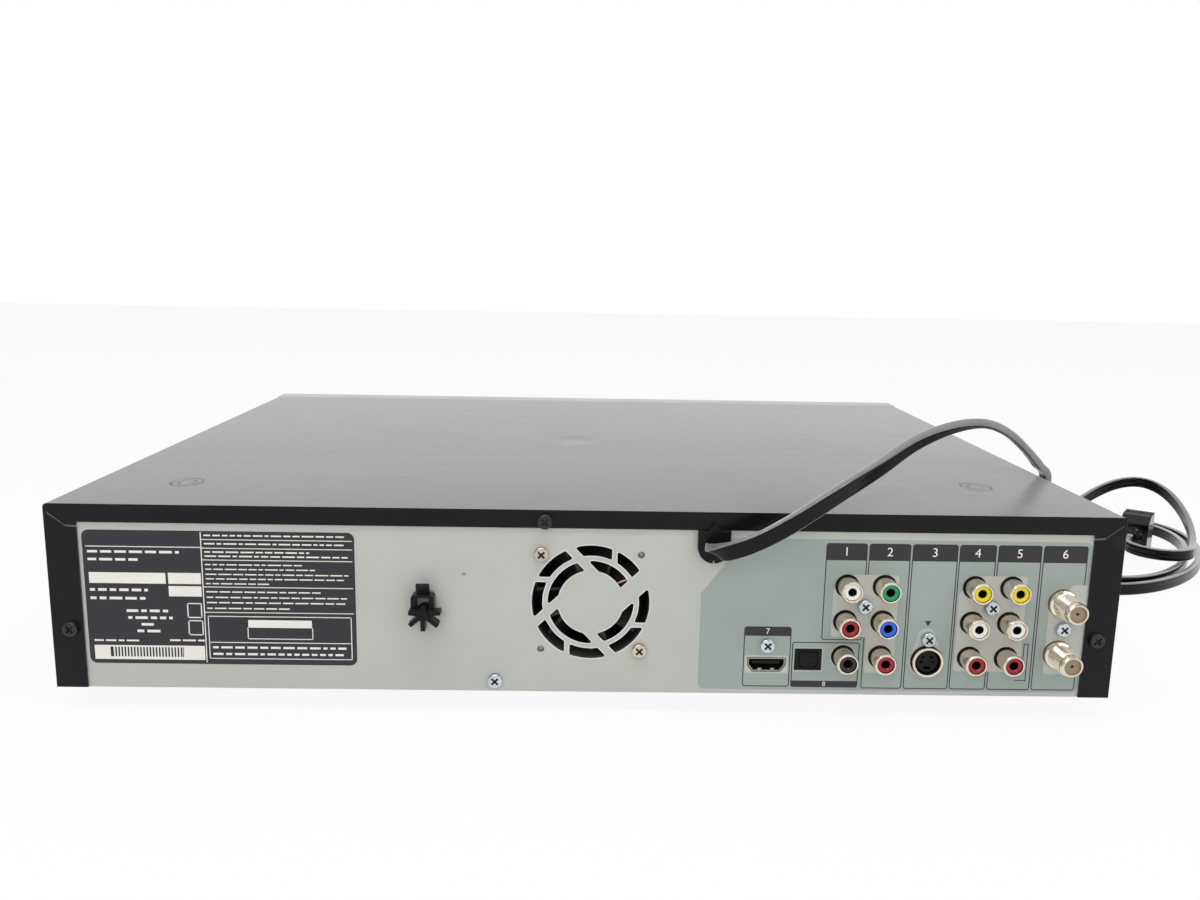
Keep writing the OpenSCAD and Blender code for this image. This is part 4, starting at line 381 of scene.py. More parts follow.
# %% Group: rounded box mask
BOXM, gi, go = new_group("box_mask", [
    ("U", "Float", 0.0), ("V", "Float", 0.0), ("Middle U", "Float", 0.0),
    ("Middle V", "Float", 0.0), ("Half U", "Float", 0.01), ("Half V", "Float", 0.01),
    ("Round", "Float", 0.001)], [("Distance", "Float"), ("Inside", "Float")])
past = []
for k in (0, 1):
    a = calc(BOXM, "ABSOLUTE", minus(BOXM, gi.outputs[k], gi.outputs[k + 2]))
    past.append(calc(BOXM, "ADD", minus(BOXM, a, gi.outputs[k + 4]), gi.outputs[6]))
outer = distance(BOXM, *[most(BOXM, q, 0.0) for q in past])
inner = calc(BOXM, "MINIMUM", most(BOXM, *past), 0.0)
d = minus(BOXM, calc(BOXM, "ADD", outer, inner), gi.outputs[6])
BOXM.links.new(d, go.inputs[0])
BOXM.links.new(fade(BOXM, d, 0.00006, -0.00006), go.inputs[1])

# %% [markdown]
# ## One finish for each kind of surface
# `finish` builds a complete material: base colour with mottling, gloss with smudges, grain,
# dust, worn edges and softened edge highlights. It keeps the tree and its last sockets in
# `LAST`, so that a surface with more on it, such as the printed panel, can add to them.

# %% Finish builder
LAST = {}
DUST_COLOR = (0.42, 0.4, 0.37, 1)


def lin(r, g, b):
    """A colour in steps of 0 to 255, as the linear values that a shader takes."""
    f = lambda c: c / 12.92 if c <= 0.04045 else ((c + 0.055) / 1.055) ** 2.4
    return (f(r / 255), f(g / 255), f(b / 255), 1.0)


def finish(name, color, rough, metal=0.0, mottle=0.05, grain=(2500.0, 0.000004), dust=0.25,
           edge=0.0, edge_color=(0.5, 0.5, 0.5, 1), soft=0.0002, coat=0.0, scratch=0.0, spec=0.5,
           smudge=1.0, sheen=0.0):
    mat = bpy.data.materials.new(name)
    mat.use_nodes = True
    t = mat.node_tree
    t.nodes.clear()
    co = put(t, "ShaderNodeTexCoord").outputs["Object"]
    band = use(t, BAND, {"Vector": co, "Scale": 55.0, "Low": 1 - mottle, "High": 1 + mottle})
    col = blend(t, 1.0, color, band.outputs[0], "MULTIPLY")
    smear = use(t, BAND, {"Vector": co, "Scale": 38.0, "Detail": 6.0, "Low": 1 - 0.15 * smudge,
                          "High": 1 + 0.18 * smudge})
    gloss = times(t, smear.outputs[0], rough)
    if scratch:
        s = use(t, SCRATCH, {"Vector": co, "Amount": scratch})
        col = blend(t, s.outputs[0], col, edge_color)
        gloss = calc(t, "ADD", gloss, times(t, s.outputs[0], 0.15))
    if edge:
        e = use(t, EDGE, {"Vector": co, "Amount": edge})
        col = blend(t, e.outputs[0], col, edge_color)
    if dust:
        d = use(t, DUST, {"Vector": co, "Amount": dust})
        col = blend(t, d.outputs[0], col, DUST_COLOR)
        gloss = calc(t, "ADD", gloss, times(t, d.outputs[0], 0.5), clamp=True)
    bev = put(t, "ShaderNodeBevel", {"Radius": soft}, samples=4)
    g = use(t, GRAIN, {"Vector": co, "Scale": grain[0], "Height": grain[1],
                       "Normal": bev.outputs[0]})
    sh = put(t, "ShaderNodeBsdfPrincipled", {
        "Base Color": col, "Roughness": gloss, "Normal": g.outputs[0], "Metallic": metal,
        "Coat Weight": coat, "Coat Roughness": 0.12, "Specular IOR Level": spec,
        "Sheen Weight": sheen, "Sheen Roughness": 0.35})
    put(t, "ShaderNodeOutputMaterial", {0: sh.outputs[0]})
    LAST.update(tree=t, shader=sh, object=co, color=col, gloss=gloss, normal=g.outputs[0])
    return mat


def dress(mat, *names):
    for n in names:
        ob = nodes[n] if n in nodes else bpy.data.objects[n]
        ob.data.materials.clear()
        ob.data.materials.append(mat)
    print(mat.name, "on", *names)


def paint(name, mats, choose):
    """Gives the faces of a piece one of several materials, by the middle of each face in mm."""
    me = nodes[name].data
    me.materials.clear()
    for m in mats:
        me.materials.append(m)
    for p in me.polygons:
        p.material_index = choose(p.center / MM, p.normal)
    print(name, "in", *[m.name for m in mats])


def off(p, x, z):
    """How far a point is from a line that runs straight back at (x, z)."""
    return hypot(p.x - x, p.z - z)


# %% [markdown]
# ### Plastics and metals used in many places
# Moulded plastic is dark and grainy, plated and turned metal is smooth, and sheet metal has a
# dull mottling and scratches. One call each sets these few values; building every material by
# hand would let them drift apart.

# %% Common finishes
black_plastic = finish("black_plastic", (0.005, 0.005, 0.006, 1), 0.3, grain=(3200, 0.000003),
                       edge=0.3, edge_color=(0.08, 0.08, 0.08, 1), dust=0.12, spec=0.18)
fan_plastic = finish("fan_plastic", (0.016, 0.016, 0.017, 1), 0.5, grain=(2200, 0.000006),
                     dust=0.5)
nickel = finish("nickel", lin(226, 215, 197), 0.17, metal=1.0, mottle=0.1, dust=0.12, edge=0.3,
                grain=(1500, 0.000001), edge_color=(0.85, 0.82, 0.75, 1), soft=0.00012)
tin = finish("tin_plate", lin(176, 172, 160), 0.3, metal=1.0, mottle=0.1, scratch=0.3)
zinc = finish("zinc_sheet", lin(172, 173, 172), 0.36, metal=1.0, mottle=0.12, scratch=0.35,
              dust=0.3)
screw_zinc = finish("screw_zinc", lin(196, 204, 210), 0.2, metal=1.0, mottle=0.3, soft=0.0003,
                    edge=0.4, edge_color=(0.9, 0.9, 0.9, 1), grain=(650, 0.00006))
screw_brass = finish("screw_brass_tint", lin(194, 184, 170), 0.22, metal=1.0, mottle=0.3,
                     soft=0.0003, grain=(650, 0.00006))
# Painted shade: a dark finish for the cross recesses of the screws, where shade falls.
recess_dark = finish("recess_dark", lin(52, 50, 47), 0.5, metal=0.4, mottle=0.2, dust=0.0)
screw_black = finish("screw_black", (0.006, 0.006, 0.006, 1), 0.24, mottle=0.1, edge=0.6,
                     soft=0.00015, edge_color=(0.2, 0.19, 0.18, 1))
steel = finish("turned_steel", lin(180, 181, 184), 0.22, metal=1.0, scratch=0.1)
aluminium = finish("turned_aluminium", lin(208, 209, 212), 0.2, metal=1.0, mottle=0.03,
                   scratch=0.1)
deck_steel = finish("deck_steel", lin(170, 171, 172), 0.38, metal=1.0, mottle=0.12, scratch=0.2)
rubber = finish("ground_rubber", (0.015, 0.015, 0.015, 1), 0.75, grain=(2600, 0.00001))
cream = finish("natural_plastic", lin(226, 224, 214), 0.45, mottle=0.04)
drive_black = finish("drive_plastic", (0.02, 0.02, 0.022, 1), 0.46, grain=(2800, 0.000005),
                     edge=0.2, edge_color=(0.1, 0.1, 0.1, 1))
green_board = finish("green_board", (0.02, 0.11, 0.05, 1), 0.3, mottle=0.15, coat=0.4)
brown_board = finish("brown_board", (0.3, 0.19, 0.08, 1), 0.4, mottle=0.12, coat=0.3)
tan_insulator = finish("tan_insulator", lin(152, 134, 112), 0.5, mottle=0.06)
copper = finish("copper_winding", (0.6, 0.27, 0.1, 1), 0.35, metal=0.8, mottle=0.1)
yellow_tape = finish("yellow_tape", (0.7, 0.55, 0.06, 1), 0.4, mottle=0.08)
blue_sleeve = finish("blue_sleeve", (0.02, 0.04, 0.16, 1), 0.3, mottle=0.08)
lens_glass = finish("lens", (0.05, 0.08, 0.2, 1), 0.05, mottle=0.02, grain=(500, 0.0), coat=1.0)
print("materials so far, with the model's own:", len(bpy.data.materials))

# %% [markdown]
# ### Coloured inserts of the phono sockets
# Bright, glossy thermoplastic. The mottling is slight, and the specular highlight on the rolled
# lip comes from the softened edge. The bore's faces are painted near black, a painted shade for
# the shadow inside the hole, which is simplest to give by face.

# %% Inserts
PHONO_X, PHONO_Z = (-104.2, -119.4, -156.0, -171.2), (25.5, 40.5, 55.5)
BORE_R = 1.9
# Painted shade: near-black faces inside each bore.
bore_dark = finish("bore_dark", (0.004, 0.004, 0.004, 1), 0.6, dust=0.0)


def insert_face(p, n):
    return 1 if p.y < 167.6 and min(off(p, x, z) for x in PHONO_X for z in PHONO_Z) < BORE_R else 0


for name, rgb in (("inserts_white", (236, 232, 227)), ("inserts_red", (150, 20, 34)),
                  ("inserts_yellow", (226, 206, 18)), ("insert_green", (20, 142, 96)),
                  ("insert_blue", (30, 96, 214)), ("insert_black", (26, 26, 28))):
    m = finish(name + "_plastic", lin(*rgb), 0.26, grain=(1800, 0.000002), dust=0.15,
               soft=0.00015)
    paint(name, [m, bore_dark], insert_face)

# %% [markdown]
# ### The cover
# Black satin paint on sheet steel. Seen at a low angle it mirrors the bright surroundings, which
# is why the top looks grey in the picture while the flange, seen square on, is nearly black. The
# heavy dust mask adds painted light to that grey: beside some real dust it lightens all that faces
# up. It has handling scratches, two rub rings where something stood on it and a shallow dent. They
# are masks at their own places, because a noise would put them anywhere.

# %% Cover paint
# The heavy dust is partly painted light: it lightens all that faces up.
cover = finish("cover_paint", (0.004, 0.004, 0.005, 1), 0.2, mottle=0.1, grain=(1500, 0.0000025),
               dust=0.34, edge=0.35, edge_color=(0.12, 0.12, 0.13, 1), scratch=0.25, soft=0.0003,
               spec=0.16, smudge=0.3, sheen=1.0)
c = dict(LAST)
c["shader"].inputs["Sheen Tint"].default_value = (0.98, 0.965, 1.0, 1)
t = c["tree"]
X, Y, Z = put(t, "ShaderNodeSeparateXYZ", {0: c["object"]}).outputs


def around(tree, x, y, x0, y0, stretch=1.0):
    """Distance from a place, with the second way stretched."""
    dx = minus(tree, x, x0)
    dy = times(tree, minus(tree, y, y0), stretch)
    return distance(tree, dx, dy)


def ring(tree, r, r0, half):
    away = calc(tree, "ABSOLUTE", minus(tree, r, r0))
    return fade(tree, away, half, half * 0.3)


on_top = calc(t, "GREATER_THAN", Z, 0.0852)
rings = []
for x0, y0 in ((0.174, 0.1193), (-0.1739, 0.1068)):
    rr = around(t, X, Y, x0, y0, 0.8)
    rings.append(most(t, ring(t, rr, 0.0064, 0.0008), ring(t, rr, 0.0036, 0.0006)))
broken = fade(t, noise(t, c["object"], 300.0, 3.0), 0.3, 0.55)
rub = times(t, most(t, *rings), broken, on_top)
print("rub rings:", len(rings))

# %% [markdown]
# Short scuffs are thin boxes, each turned its own way. The dent is a smooth cup in the normal,
# and the sheet's slight waves are a very slow noise; both are too shallow to need geometry.

# %% Scuffs, dent and waves
SCUFF_HALF = 0.00045
for x0, y0, half, turned in ((0.087, 0.1052, 0.009, 0.3), (-0.1619, 0.0574, 0.006, 2.6),
                             (-0.0914, 0.0748, 0.004, 1.1), (-0.165, 0.125, 0.007, 0.1)):
    ca, sa = cos(turned), sin(turned)
    dx, dy = minus(t, X, x0), minus(t, Y, y0)
    al = calc(t, "ADD", times(t, dx, ca), times(t, dy, sa))
    ac = minus(t, times(t, dy, ca), times(t, dx, sa))
    far = most(t, calc(t, "DIVIDE", calc(t, "ABSOLUTE", al), half),
               calc(t, "DIVIDE", calc(t, "ABSOLUTE", ac), SCUFF_HALF))
    rub = most(t, rub, times(t, fade(t, far, 1.0, 0.4), on_top, 0.7))
dent = fade(t, around(t, X, Y, 0.0075, 0.0002, 0.7), 0.012, 0.0,
            interpolation_type="SMOOTHSTEP")
dented = bump(t, times(t, dent, -1.0), 0.0004, c["normal"])
wavy = bump(t, noise(t, c["object"], 9.0, 1.0), 0.0006, dented, 0.6)
col = blend(t, times(t, rub, 0.9), c["color"], (0.001, 0.001, 0.001, 1))
gloss = calc(t, "ADD", c["gloss"], times(t, rub, 0.6), clamp=True)
for socket, value in (("Base Color", col), ("Roughness", gloss), ("Normal", wavy)):
    t.links.new(value, c["shader"].inputs[socket])
dress(cover, "top_cover")

# %% [markdown]
# ### The connector panel
# Pale grey paint, with a blue-grey printed field behind the connectors. The field's outline is a
# mask: a rounded rectangle whose upper inner corner is cut back along an upright and a slanted
# edge. The black bars and fine frames are masks of the same kind. Boxes and lines are in mm.

# %% Panel paint and its printed field
panel = finish("panel_paint", lin(186, 188, 181), 0.42, mottle=0.025, grain=(1500, 0.000003),
               dust=0.1, edge=0.5, edge_color=lin(150, 150, 146), soft=0.0002)
c = dict(LAST)
t = c["tree"]
X, _, Z = put(t, "ShaderNodeSeparateXYZ", {0: c["object"]}).outputs


def box_mask(x0, x1, z0, z1, r):
    return use(t, BOXM, {
        "U": X, "V": Z, "Middle U": (x0 + x1) / 2 * MM, "Middle V": (z0 + z1) / 2 * MM,
        "Half U": abs(x1 - x0) / 2 * MM, "Half V": abs(z1 - z0) / 2 * MM, "Round": r * MM})


def box(*corners_and_round):
    return box_mask(*corners_and_round).outputs["Inside"]


# the slanted edge runs from (-45.2, 51.6) to (-55, 64.7)
slant = calc(t, "ADD", times(t, calc(t, "ADD", X, 0.0452), 13.1),
             times(t, minus(t, Z, 0.0516), 9.8))
under = times(t, fade(t, slant, 0.001, -0.001), fade(t, Z, 0.0648, 0.0646))
beyond = fade(t, X, -0.05495, -0.05505)
field = times(t, box(-45.2, -202.1, 10.8, 74.95, 2.5), most(t, beyond, under))
tone = use(t, BAND, {"Vector": c["object"], "Scale": 30.0, "Low": 0.95, "High": 1.05})
field_color = blend(t, 1.0, lin(155, 165, 160), tone.outputs[0], "MULTIPLY")
print("panel paint with its field:", len(t.nodes), "nodes")

# %% [markdown]
# Round the sockets the sheet is left unprinted, because their shells are earthed through it.
# These places are boxes with a cut corner, and outlines of two circles joined by tangents.

# %% Places left unprinted


def below_line(x0, z0, x1, z1):
    """1 on the side of a slanted line that lies under it and towards -X."""
    along, across = (x0 - x1) * MM, (z1 - z0) * MM
    v = minus(t, times(t, minus(t, Z, z0 * MM), along),
              times(t, minus(t, x0 * MM, X), across))
    return fade(t, v, 2e-7, -2e-7)


def round_cone(xa, za, ra, xb, zb, rb):
    """1 inside the outline of two circles joined by their outer tangents."""
    h = fade(t, Z, za * MM, zb * MM)
    dx, dz, r = (calc(t, "ADD", a * MM, times(t, h, (b - a) * MM))
                 for a, b in ((xa, xb), (za, zb), (ra, rb)))
    dx, dz = minus(t, X, dx), minus(t, Z, dz)
    return fade(t, minus(t, distance(t, dx, dz), r), 6e-5, -6e-5)


pads = [times(t, box(-98.7, -125.2, 33.9, 60.2, 1.2),
              below_line(-98.6, 53.5, -104.4, 60.2)),
        box(-113.0, -125.2, 18.6, 36, 1.2),
        times(t, box(-149.9, -177.3, 19.5, 60.3, 1.4),
              below_line(-149.9, 52.5, -156.5, 60.3)),
        times(t, box(-187.2, -203.0, 18.7, 57.0, 1.4),
              below_line(-187.2, 48.5, -196.5, 57.0)),
        round_cone(-138.3, 24.0, 7.3, -138.1, 34.4, 3.6),
        box(-64.2, -81.8, 17.9, 25.5, 0.6),
        box(-84.0, -96.2, 18.6, 29.2, 0.6),
        round_cone(-104.2, 25.4, 5.2, -104.2, 25.6, 5.2)]
bare = minus(t, 1.0, most(t, *pads))
col = blend(t, times(t, field, bare), c["color"], field_color)
print("places left unprinted:", len(pads))

# %% [markdown]
# Each group of sockets has a black bar, and a fine frame round the bar and the group. The frame
# is a narrow band just inside the outline of a box, which one distance gives for all four sides.

# %% Bars, frames and small marks


def thin_line(outline):
    inside = calc(t, "ABSOLUTE", calc(t, "ADD", outline.outputs["Distance"], 0.0002))
    return fade(t, inside, 0.00026, 0.00016)


# x of both sides, then z of the bar's bottom and top and of the frame's bottom
groups = [(-94.9, -111.6, 66.2, 73.3, 32.5), (-112.2, -129.1, 66.2, 73.3, 11.7),
          (-129.7, -148.2, 66.2, 73.3, 11.7), (-148.7, -163.7, 66.2, 73.3, 11.7),
          (-164.3, -182.1, 66.2, 73.3, 11.7), (-182.7, -200.8, 66.2, 73.3, 11.7),
          (-63.4, -82.7, 33.9, 37.9, 12.1)]
marks = []
for x0, x1, zb, zt, zf in groups:
    bar = times(t, box(x0, x1, zb - 3, zt, 1.2), calc(t, "GREATER_THAN", Z, zb * MM))
    marks.append(most(t, bar, thin_line(box_mask(x0, x1, zf, zt, 1.2))))
# the digital group has its bar at the foot
foot = times(t, box(-83.3, -110.9, 12.0, 18, 1.0), calc(t, "LESS_THAN", Z, 14.8 * MM))
marks.append(most(t, foot, thin_line(box_mask(-83.3, -110.9, 12.0, 31.5, 1.0))))
# the bracket that ties two sockets together
marks += [box(x0, x1, z0, z1, 0.05) for x0, x1, z0, z1 in (
    (-178.2, -178.6, 25.1, 31.8), (-178.2, -180.3, 31.4, 31.8), (-179.9, -180.3, 15.7, 31.8),
    (-175.8, -180.3, 15.7, 16.1))]
ink = times(t, most(t, *marks), bare)
# a small plain triangle over the round video socket
slopes = minus(t, calc(t, "ABSOLUTE", calc(t, "ADD", X, 0.1382)),
               times(t, minus(t, Z, 0.0388), 0.6))
tri = most(t, slopes, minus(t, Z, 0.0411))
ink = most(t, ink, fade(t, tri, 0.0001, -0.0001))
facing = put(t, "ShaderNodeSeparateXYZ", {
    0: put(t, "ShaderNodeNewGeometry").outputs["True Normal"]}).outputs[1]
flat = calc(t, "GREATER_THAN", facing, 0.9)
col = blend(t, times(t, ink, flat), col, (0.017, 0.0155, 0.02, 1))
# a rust-brown speck beside the fan
speck = ring(t, around(t, X, Z, 0.0501, 0.0585, 2.2), 0.0, 0.0013)
col = blend(t, times(t, speck, flat, 0.9), col, (0.1, 0.06, 0.045, 1))
t.links.new(col, c["shader"].inputs["Base Color"])
print("printed marks:", len(marks))

# %% [markdown]
# The sheet's cut edges are bare metal. The two pressed cups beside the fan are a darker, duller
# grey, a painted shade for the shadow inside them. They get finishes of their own by face,
# because a mask would have to switch every value of the paint.

# %% Faces of the panel
FAN_X, FAN_Z, CUP_OFF = -0.8, 47.25, 20
cut_sheet = finish("cut_sheet_edge", lin(186, 187, 184), 0.33, metal=0.9, mottle=0.1, dust=0.0)
# Painted shade: the cups are darker than the paint round them.
cup_shade = finish("pressed_cup", lin(150, 152, 153), 0.3, metal=0.5, mottle=0.08, dust=0.0,
                 grain=(900, 0.0))


def panel_face(p, n):
    for s in (-1, 1):
        if off(p, FAN_X + CUP_OFF * s, FAN_Z - CUP_OFF * s) < BORE_R and p.y < 160.09:
            return 2
    return 1 if abs(n.y) < 0.5 and p.y > 159.2 else 0


paint("rear_panel", [panel, cut_sheet, cup_shade], panel_face)

# %% [markdown]
# The punched edges of the grille are rolled over a little, and catch the light as a thin pale
# line. That line is painted: thin strips of pale colour round each opening, a painted highlight.
# Its strips follow the openings' own edges, read from the panel's mesh, so they fit it exactly; a
# mask would need every slot's outline again.

# %% Painted highlights on the grille's rims
PANEL_Y, GRILLE_R, HIGHLIGHT_W = 0.1601, 31, 0.4 * MM
me = nodes["rear_panel"].data


def edges_of(p):
    """The edges of a face as pairs of points, with a key that also matches unjoined vertices."""
    pts = [me.vertices[i].co for i in p.vertices]
    for u, v in zip(pts, pts[1:] + pts[:1]):
        yield u, v, frozenset(tuple(round(c * 1e5) for c in q) for q in (u, v))


walls = {}
for p in me.polygons:
    if abs(p.normal.y) < 0.3 and off(p.center / MM, FAN_X, FAN_Z) < GRILLE_R:
        for u, v, key in edges_of(p):
            walls[key] = p.normal.copy()
bm = bmesh.new()
for p in me.polygons:
    if p.normal.y < 0.9 or abs(p.center.y - PANEL_Y) > 3e-5:
        continue
    for u, v, key in edges_of(p):
        if key in walls and (v - u).length > 1e-5:
            back = Vector((walls[key].x, 0, walls[key].z)).normalized() * -HIGHLIGHT_W
            proud = Vector((0, 0.00003, 0))
            corners = [q + proud for q in (u, v, v + back, u + back)]
            if (v - u).cross(back).y < 0:
                corners.reverse()
            bm.faces.new([bm.verts.new(q) for q in corners])
# The strips are a painted highlight: pale colour standing in for light on the rolled edges.
highlight_strips = piece("grille_rims", bm)
highlight_strips.data.materials.append(finish("rim_pale", lin(226, 227, 222), 0.35, dust=0.0))
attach(highlight_strips, "case")
print("rim strips round the grille's openings:", len(highlight_strips.data.polygons))

# %% [markdown]
# ### Front moulding, tray front, door, flap and buttons
# Silver-painted plastic: metallic flake in a clear binder, so it is half metallic, with a very
# fine sparkle in its normal.

# %% Silver paint
silver = finish("front_silver", lin(190, 192, 194), 0.36, metal=0.45, mottle=0.03,
                grain=(5200, 0.000003), edge=0.2, edge_color=(0.3, 0.3, 0.3, 1))
button = finish("button_silver", lin(176, 179, 183), 0.3, metal=0.5, mottle=0.04,
                grain=(5200, 0.000002))
window = finish("smoked_window", (0.006, 0.006, 0.008, 1), 0.08, mottle=0.02, grain=(500, 0.0),
                coat=1.0, dust=0.1)
dress(silver, "front_bezel", "tray_front", "cassette_door", "jack_flap")
dress(button, "power_button", "tray_button", "eject_button", "play_button", "stop_button")
dress(finish("red_button", lin(150, 30, 34), 0.3), "record_button")
dress(window, "display_window")

# %% [markdown]
# ### The other whole pieces
# These are each of one stuff, so one finish covers them: sheet, black mouldings, turned metal,
# rubber and the pale plastic of gears and reels.

# %% Pieces with one finish
dress(zinc, "chassis_pan")
dress(black_plastic, "cord_clip", "strain_relief", "jack_housings", "svideo_socket",
      "optical_jack", "optical_shutter")
dress(fan_plastic, "fan_frame", "fan_rotor")
dress(nickel, "jack_shells")
dress(steel, "capstan", "pinch_arm")
dress(aluminium, "drum_base", "drum_top")
dress(deck_steel, "cassette_carriage", "drive_lid")
dress(rubber, "drive_belt", "pinch_roller")
dress(cream, "supply_reel", "takeup_reel", "tray_gear", "motor_pulley", "feed_gear",
      "clamp_disc")
dress(drive_black, "disc_tray", "turntable")
dress(finish("foot_plastic", (0.02, 0.02, 0.021, 1), 0.55, grain=(1600, 0.00001), dust=0.3),
      "feet")

# %% [markdown]
# Screws, connectors and boards have several stuffs in one piece. A rule on the middle of each
# face picks the finish. Splitting them would be cleaner, but the construction model's pieces
# have to stay whole.

# %% Screws and connectors
SCREWS = [(-111.8, 47.1), (-163.6, 47.1), (-193.5, 38.3), (-138.7, 33.4), (-73, 30.1),
          (37.7, 13.7), (19.2, 67.25), (-20.8, 27.25)]
COVER_SCREWS = [(17.8, 80.9), (207.2, 34), (-207.2, 34)]
AERIALS = [(-192.4, 27.4), (-192.4, 49.2)]
FIRST_BRASS, DIGITAL_X = 6, -73


# In both screw rules the faces of the cross recess get the painted shade.
def cover_screw_face(p, n):
    return 1 if 161.6 < p.y < 162.95 and min(off(p, *at) for at in COVER_SCREWS) < BORE_R else 0


def screw_face(p, n):
    away, which = min((off(p, *at), i) for i, at in enumerate(SCREWS))
    if away < BORE_R and 160.9 < p.y < 162.15:
        return 2
    return 1 if which >= FIRST_BRASS else 0


def tuner_face(p, n):
    if p.y < 159.4:
        return 0
    return 2 if min(off(p, *at) for at in AERIALS) < 3.45 and p.y > 166 else 1


# Index 2 is the shell's inside, in painted shade.
def digital_face(p, n):
    x = p.x - DIGITAL_X
    if abs(x) < 5.65 and 21.65 < p.z < 23.05 and p.y > 151:
        return 1
    if abs(abs(x) - 2.6) < 0.85 and p.z < 20.1 and p.y > 154:
        return 0
    return 2 if abs(x) < 7.35 and 19.1 < p.z < 24.05 and 151 < p.y < 159.8 else 0


# Painted shade: the inside of the digital socket's metal shell is darkened.
digital_painted_shade = finish("digital_inside", lin(74, 64, 48), 0.35, metal=0.8, mottle=0.1, dust=0.0)
paint("cover_screws", [screw_black, recess_dark], cover_screw_face)
paint("panel_screws", [screw_zinc, screw_brass, recess_dark], screw_face)
paint("tuner_box", [tin, nickel, tan_insulator], tuner_face)
paint("hdmi_socket", [tin, black_plastic, digital_painted_shade], digital_face)

# %% [markdown]
# A board and its parts are one piece too. Their height and place tell the parts apart, in the
# drives mostly by the distance from a round part's middle, so no part's shape is needed again.

# %% Boards and drives
DISC_X, DISC_Y, LENS_Y = -136.2, -98.7, -73.2
BOARD_TOP = 17.7


def power_face(p, n):
    if p.z < BOARD_TOP:
        return 0
    if p.x < 72:
        return 2
    if p.x < 103:
        return 5 if 22.7 < p.z < 36.5 else 1
    return 3 if p.z < 32 and p.y < 110 else 4


def front_face(p, n):
    if p.x > 140:
        return 1 if p.y > -163 else 3
    return 0 if p.y > -161.6 else 2 if abs(p.x + 130.2) < 52 else 1


def traverse_face(p, n):
    rail = abs(abs(p.x - DISC_X) - 24) < 1.6
    return 1 if p.z > 40.2 and (rail or hypot(p.x - DISC_X, p.y - DISC_Y) < 13) else 0


def sled_face(p, n):
    lens = hypot(p.x - DISC_X, p.y - LENS_Y) < 3.9
    return 1 if lens and 51 < p.z < 52.7 and n.z > -0.9 else 0


paint("main_board", [green_board, black_plastic, zinc],
      lambda p, n: 0 if p.z < BOARD_TOP else 1 if p.z < 19.7 else 2)
paint("power_board", [brown_board, yellow_tape, blue_sleeve, black_plastic, aluminium, copper],
      power_face)
paint("front_board", [brown_board, black_plastic, window, nickel], front_face)
paint("deck_plate", [deck_steel, black_plastic, steel],
      lambda p, n: 2 if p.z > 31 and p.x < 40 and p.y > 0 else 0)
paint("loader_frame", [drive_black, steel],
      lambda p, n: 1 if hypot(p.x + 138.2, p.y + 140.1) < 9.2 and p.z > 15.1 else 0)
paint("traverse_frame", [drive_black, steel], traverse_face)
paint("pickup_sled", [drive_black, lens_glass], sled_face)

# %% [markdown]
# ### The cord's sheath
# Soft vinyl with a satin skin. The two narrow edges get a finish of their own: glossier, and with
# a much lighter base colour, a painted highlight for the bright line that light draws along them.

# %% Sheath
sheath = finish("cord_sheath", (0.003, 0.003, 0.0035, 1), 0.16, mottle=0.12, dust=0.06,
                grain=(900, 0.000002), soft=0.0003, spec=0.2, sheen=0.1)
# The edges' much lighter base colour is a painted highlight.
sheath_edge_highlight = finish("cord_edge", (0.13, 0.13, 0.135, 1), 0.14, mottle=0.12, dust=0.1,
                     grain=(900, 0.000002), soft=0.0003, spec=0.8, sheen=1.0, coat=0.8)
dress(sheath, "flat_cord")
cord.data.materials.append(sheath_edge_highlight)
sides = len(section)
narrow = [min(abs(section[k][0]), abs(section[(k + 1) % sides][0])) > 0.0029
          for k in range(sides)]
for k, p in enumerate(cord.data.polygons[:(len(path) - 1) * sides]):
    p.material_index = 1 if narrow[k % sides] else 0


def plug_face(p, n):
    """Steel for the blades, which are past the plug's body."""
    out = Vector((p.x, p.y, 0)) * MM - Vector((PLUG_AT.x, PLUG_AT.y, 0))
    return 1 if out.dot(FAR) > 0.0345 else 0


paint("power_plug", [sheath, steel], plug_face)
# The narrow sides counted here carry the painted highlight.
print("polished sides of the section:", sum(narrow), "of", sides)

# %% [markdown]
# ## Print on the panel that isn't a field
# A rating plate is a block of dark print with fine pale frames. This one holds plain shapes only:
# boxes, an even row of bars, and rows of short bars. It and the numbers lie as thin sheets less
# than a tenth of a millimetre off the panel, which is simpler than print in the panel's material,
# because there are no holes underneath.

# %% Rating plate


def add_box(bm, x0, x1, z0, z1, y):
    """A flat box that faces the rear, its sides in mm."""
    made = bmesh.ops.create_grid(bm, x_segments=1, y_segments=1, size=0.5)["verts"]
    bmesh.ops.transform(bm, verts=made, matrix=Matrix((
        (-abs(x1 - x0) * MM, 0, 0, (x0 + x1) / 2 * MM), (0, 0, 1, y),
        (0, abs(z1 - z0) * MM, 0, (z0 + z1) / 2 * MM), (0, 0, 0, 1))))


bm = bmesh.new()
add_box(bm, 201.05, 93.55, 74.9, 19.2, PANEL_Y + 0.00004)
bmesh.ops.bevel(bm, geom=bm.verts[:], offset=0.0028, affect="VERTICES", segments=6, profile=0.5,
                material=-1)
plate = piece("rating_plate", bm)
plate.data.materials.append(finish("plate_black", lin(34, 34, 41), 0.4, mottle=0.06,
                                   grain=(1500, 0.000002), dust=0.0, scratch=0.05))
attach(plate, "case")
print("rating plate", len(plate.data.polygons), "face")

# %% [markdown]
# The plate's pale shapes are flat boxes on one sheet. Frames are four thin boxes each. The rows
# are cut into bars of uneven length by a random generator with a fixed seed, so that every run
# gives the same ones.

# %% Frames, boxes and rows of bars on the plate


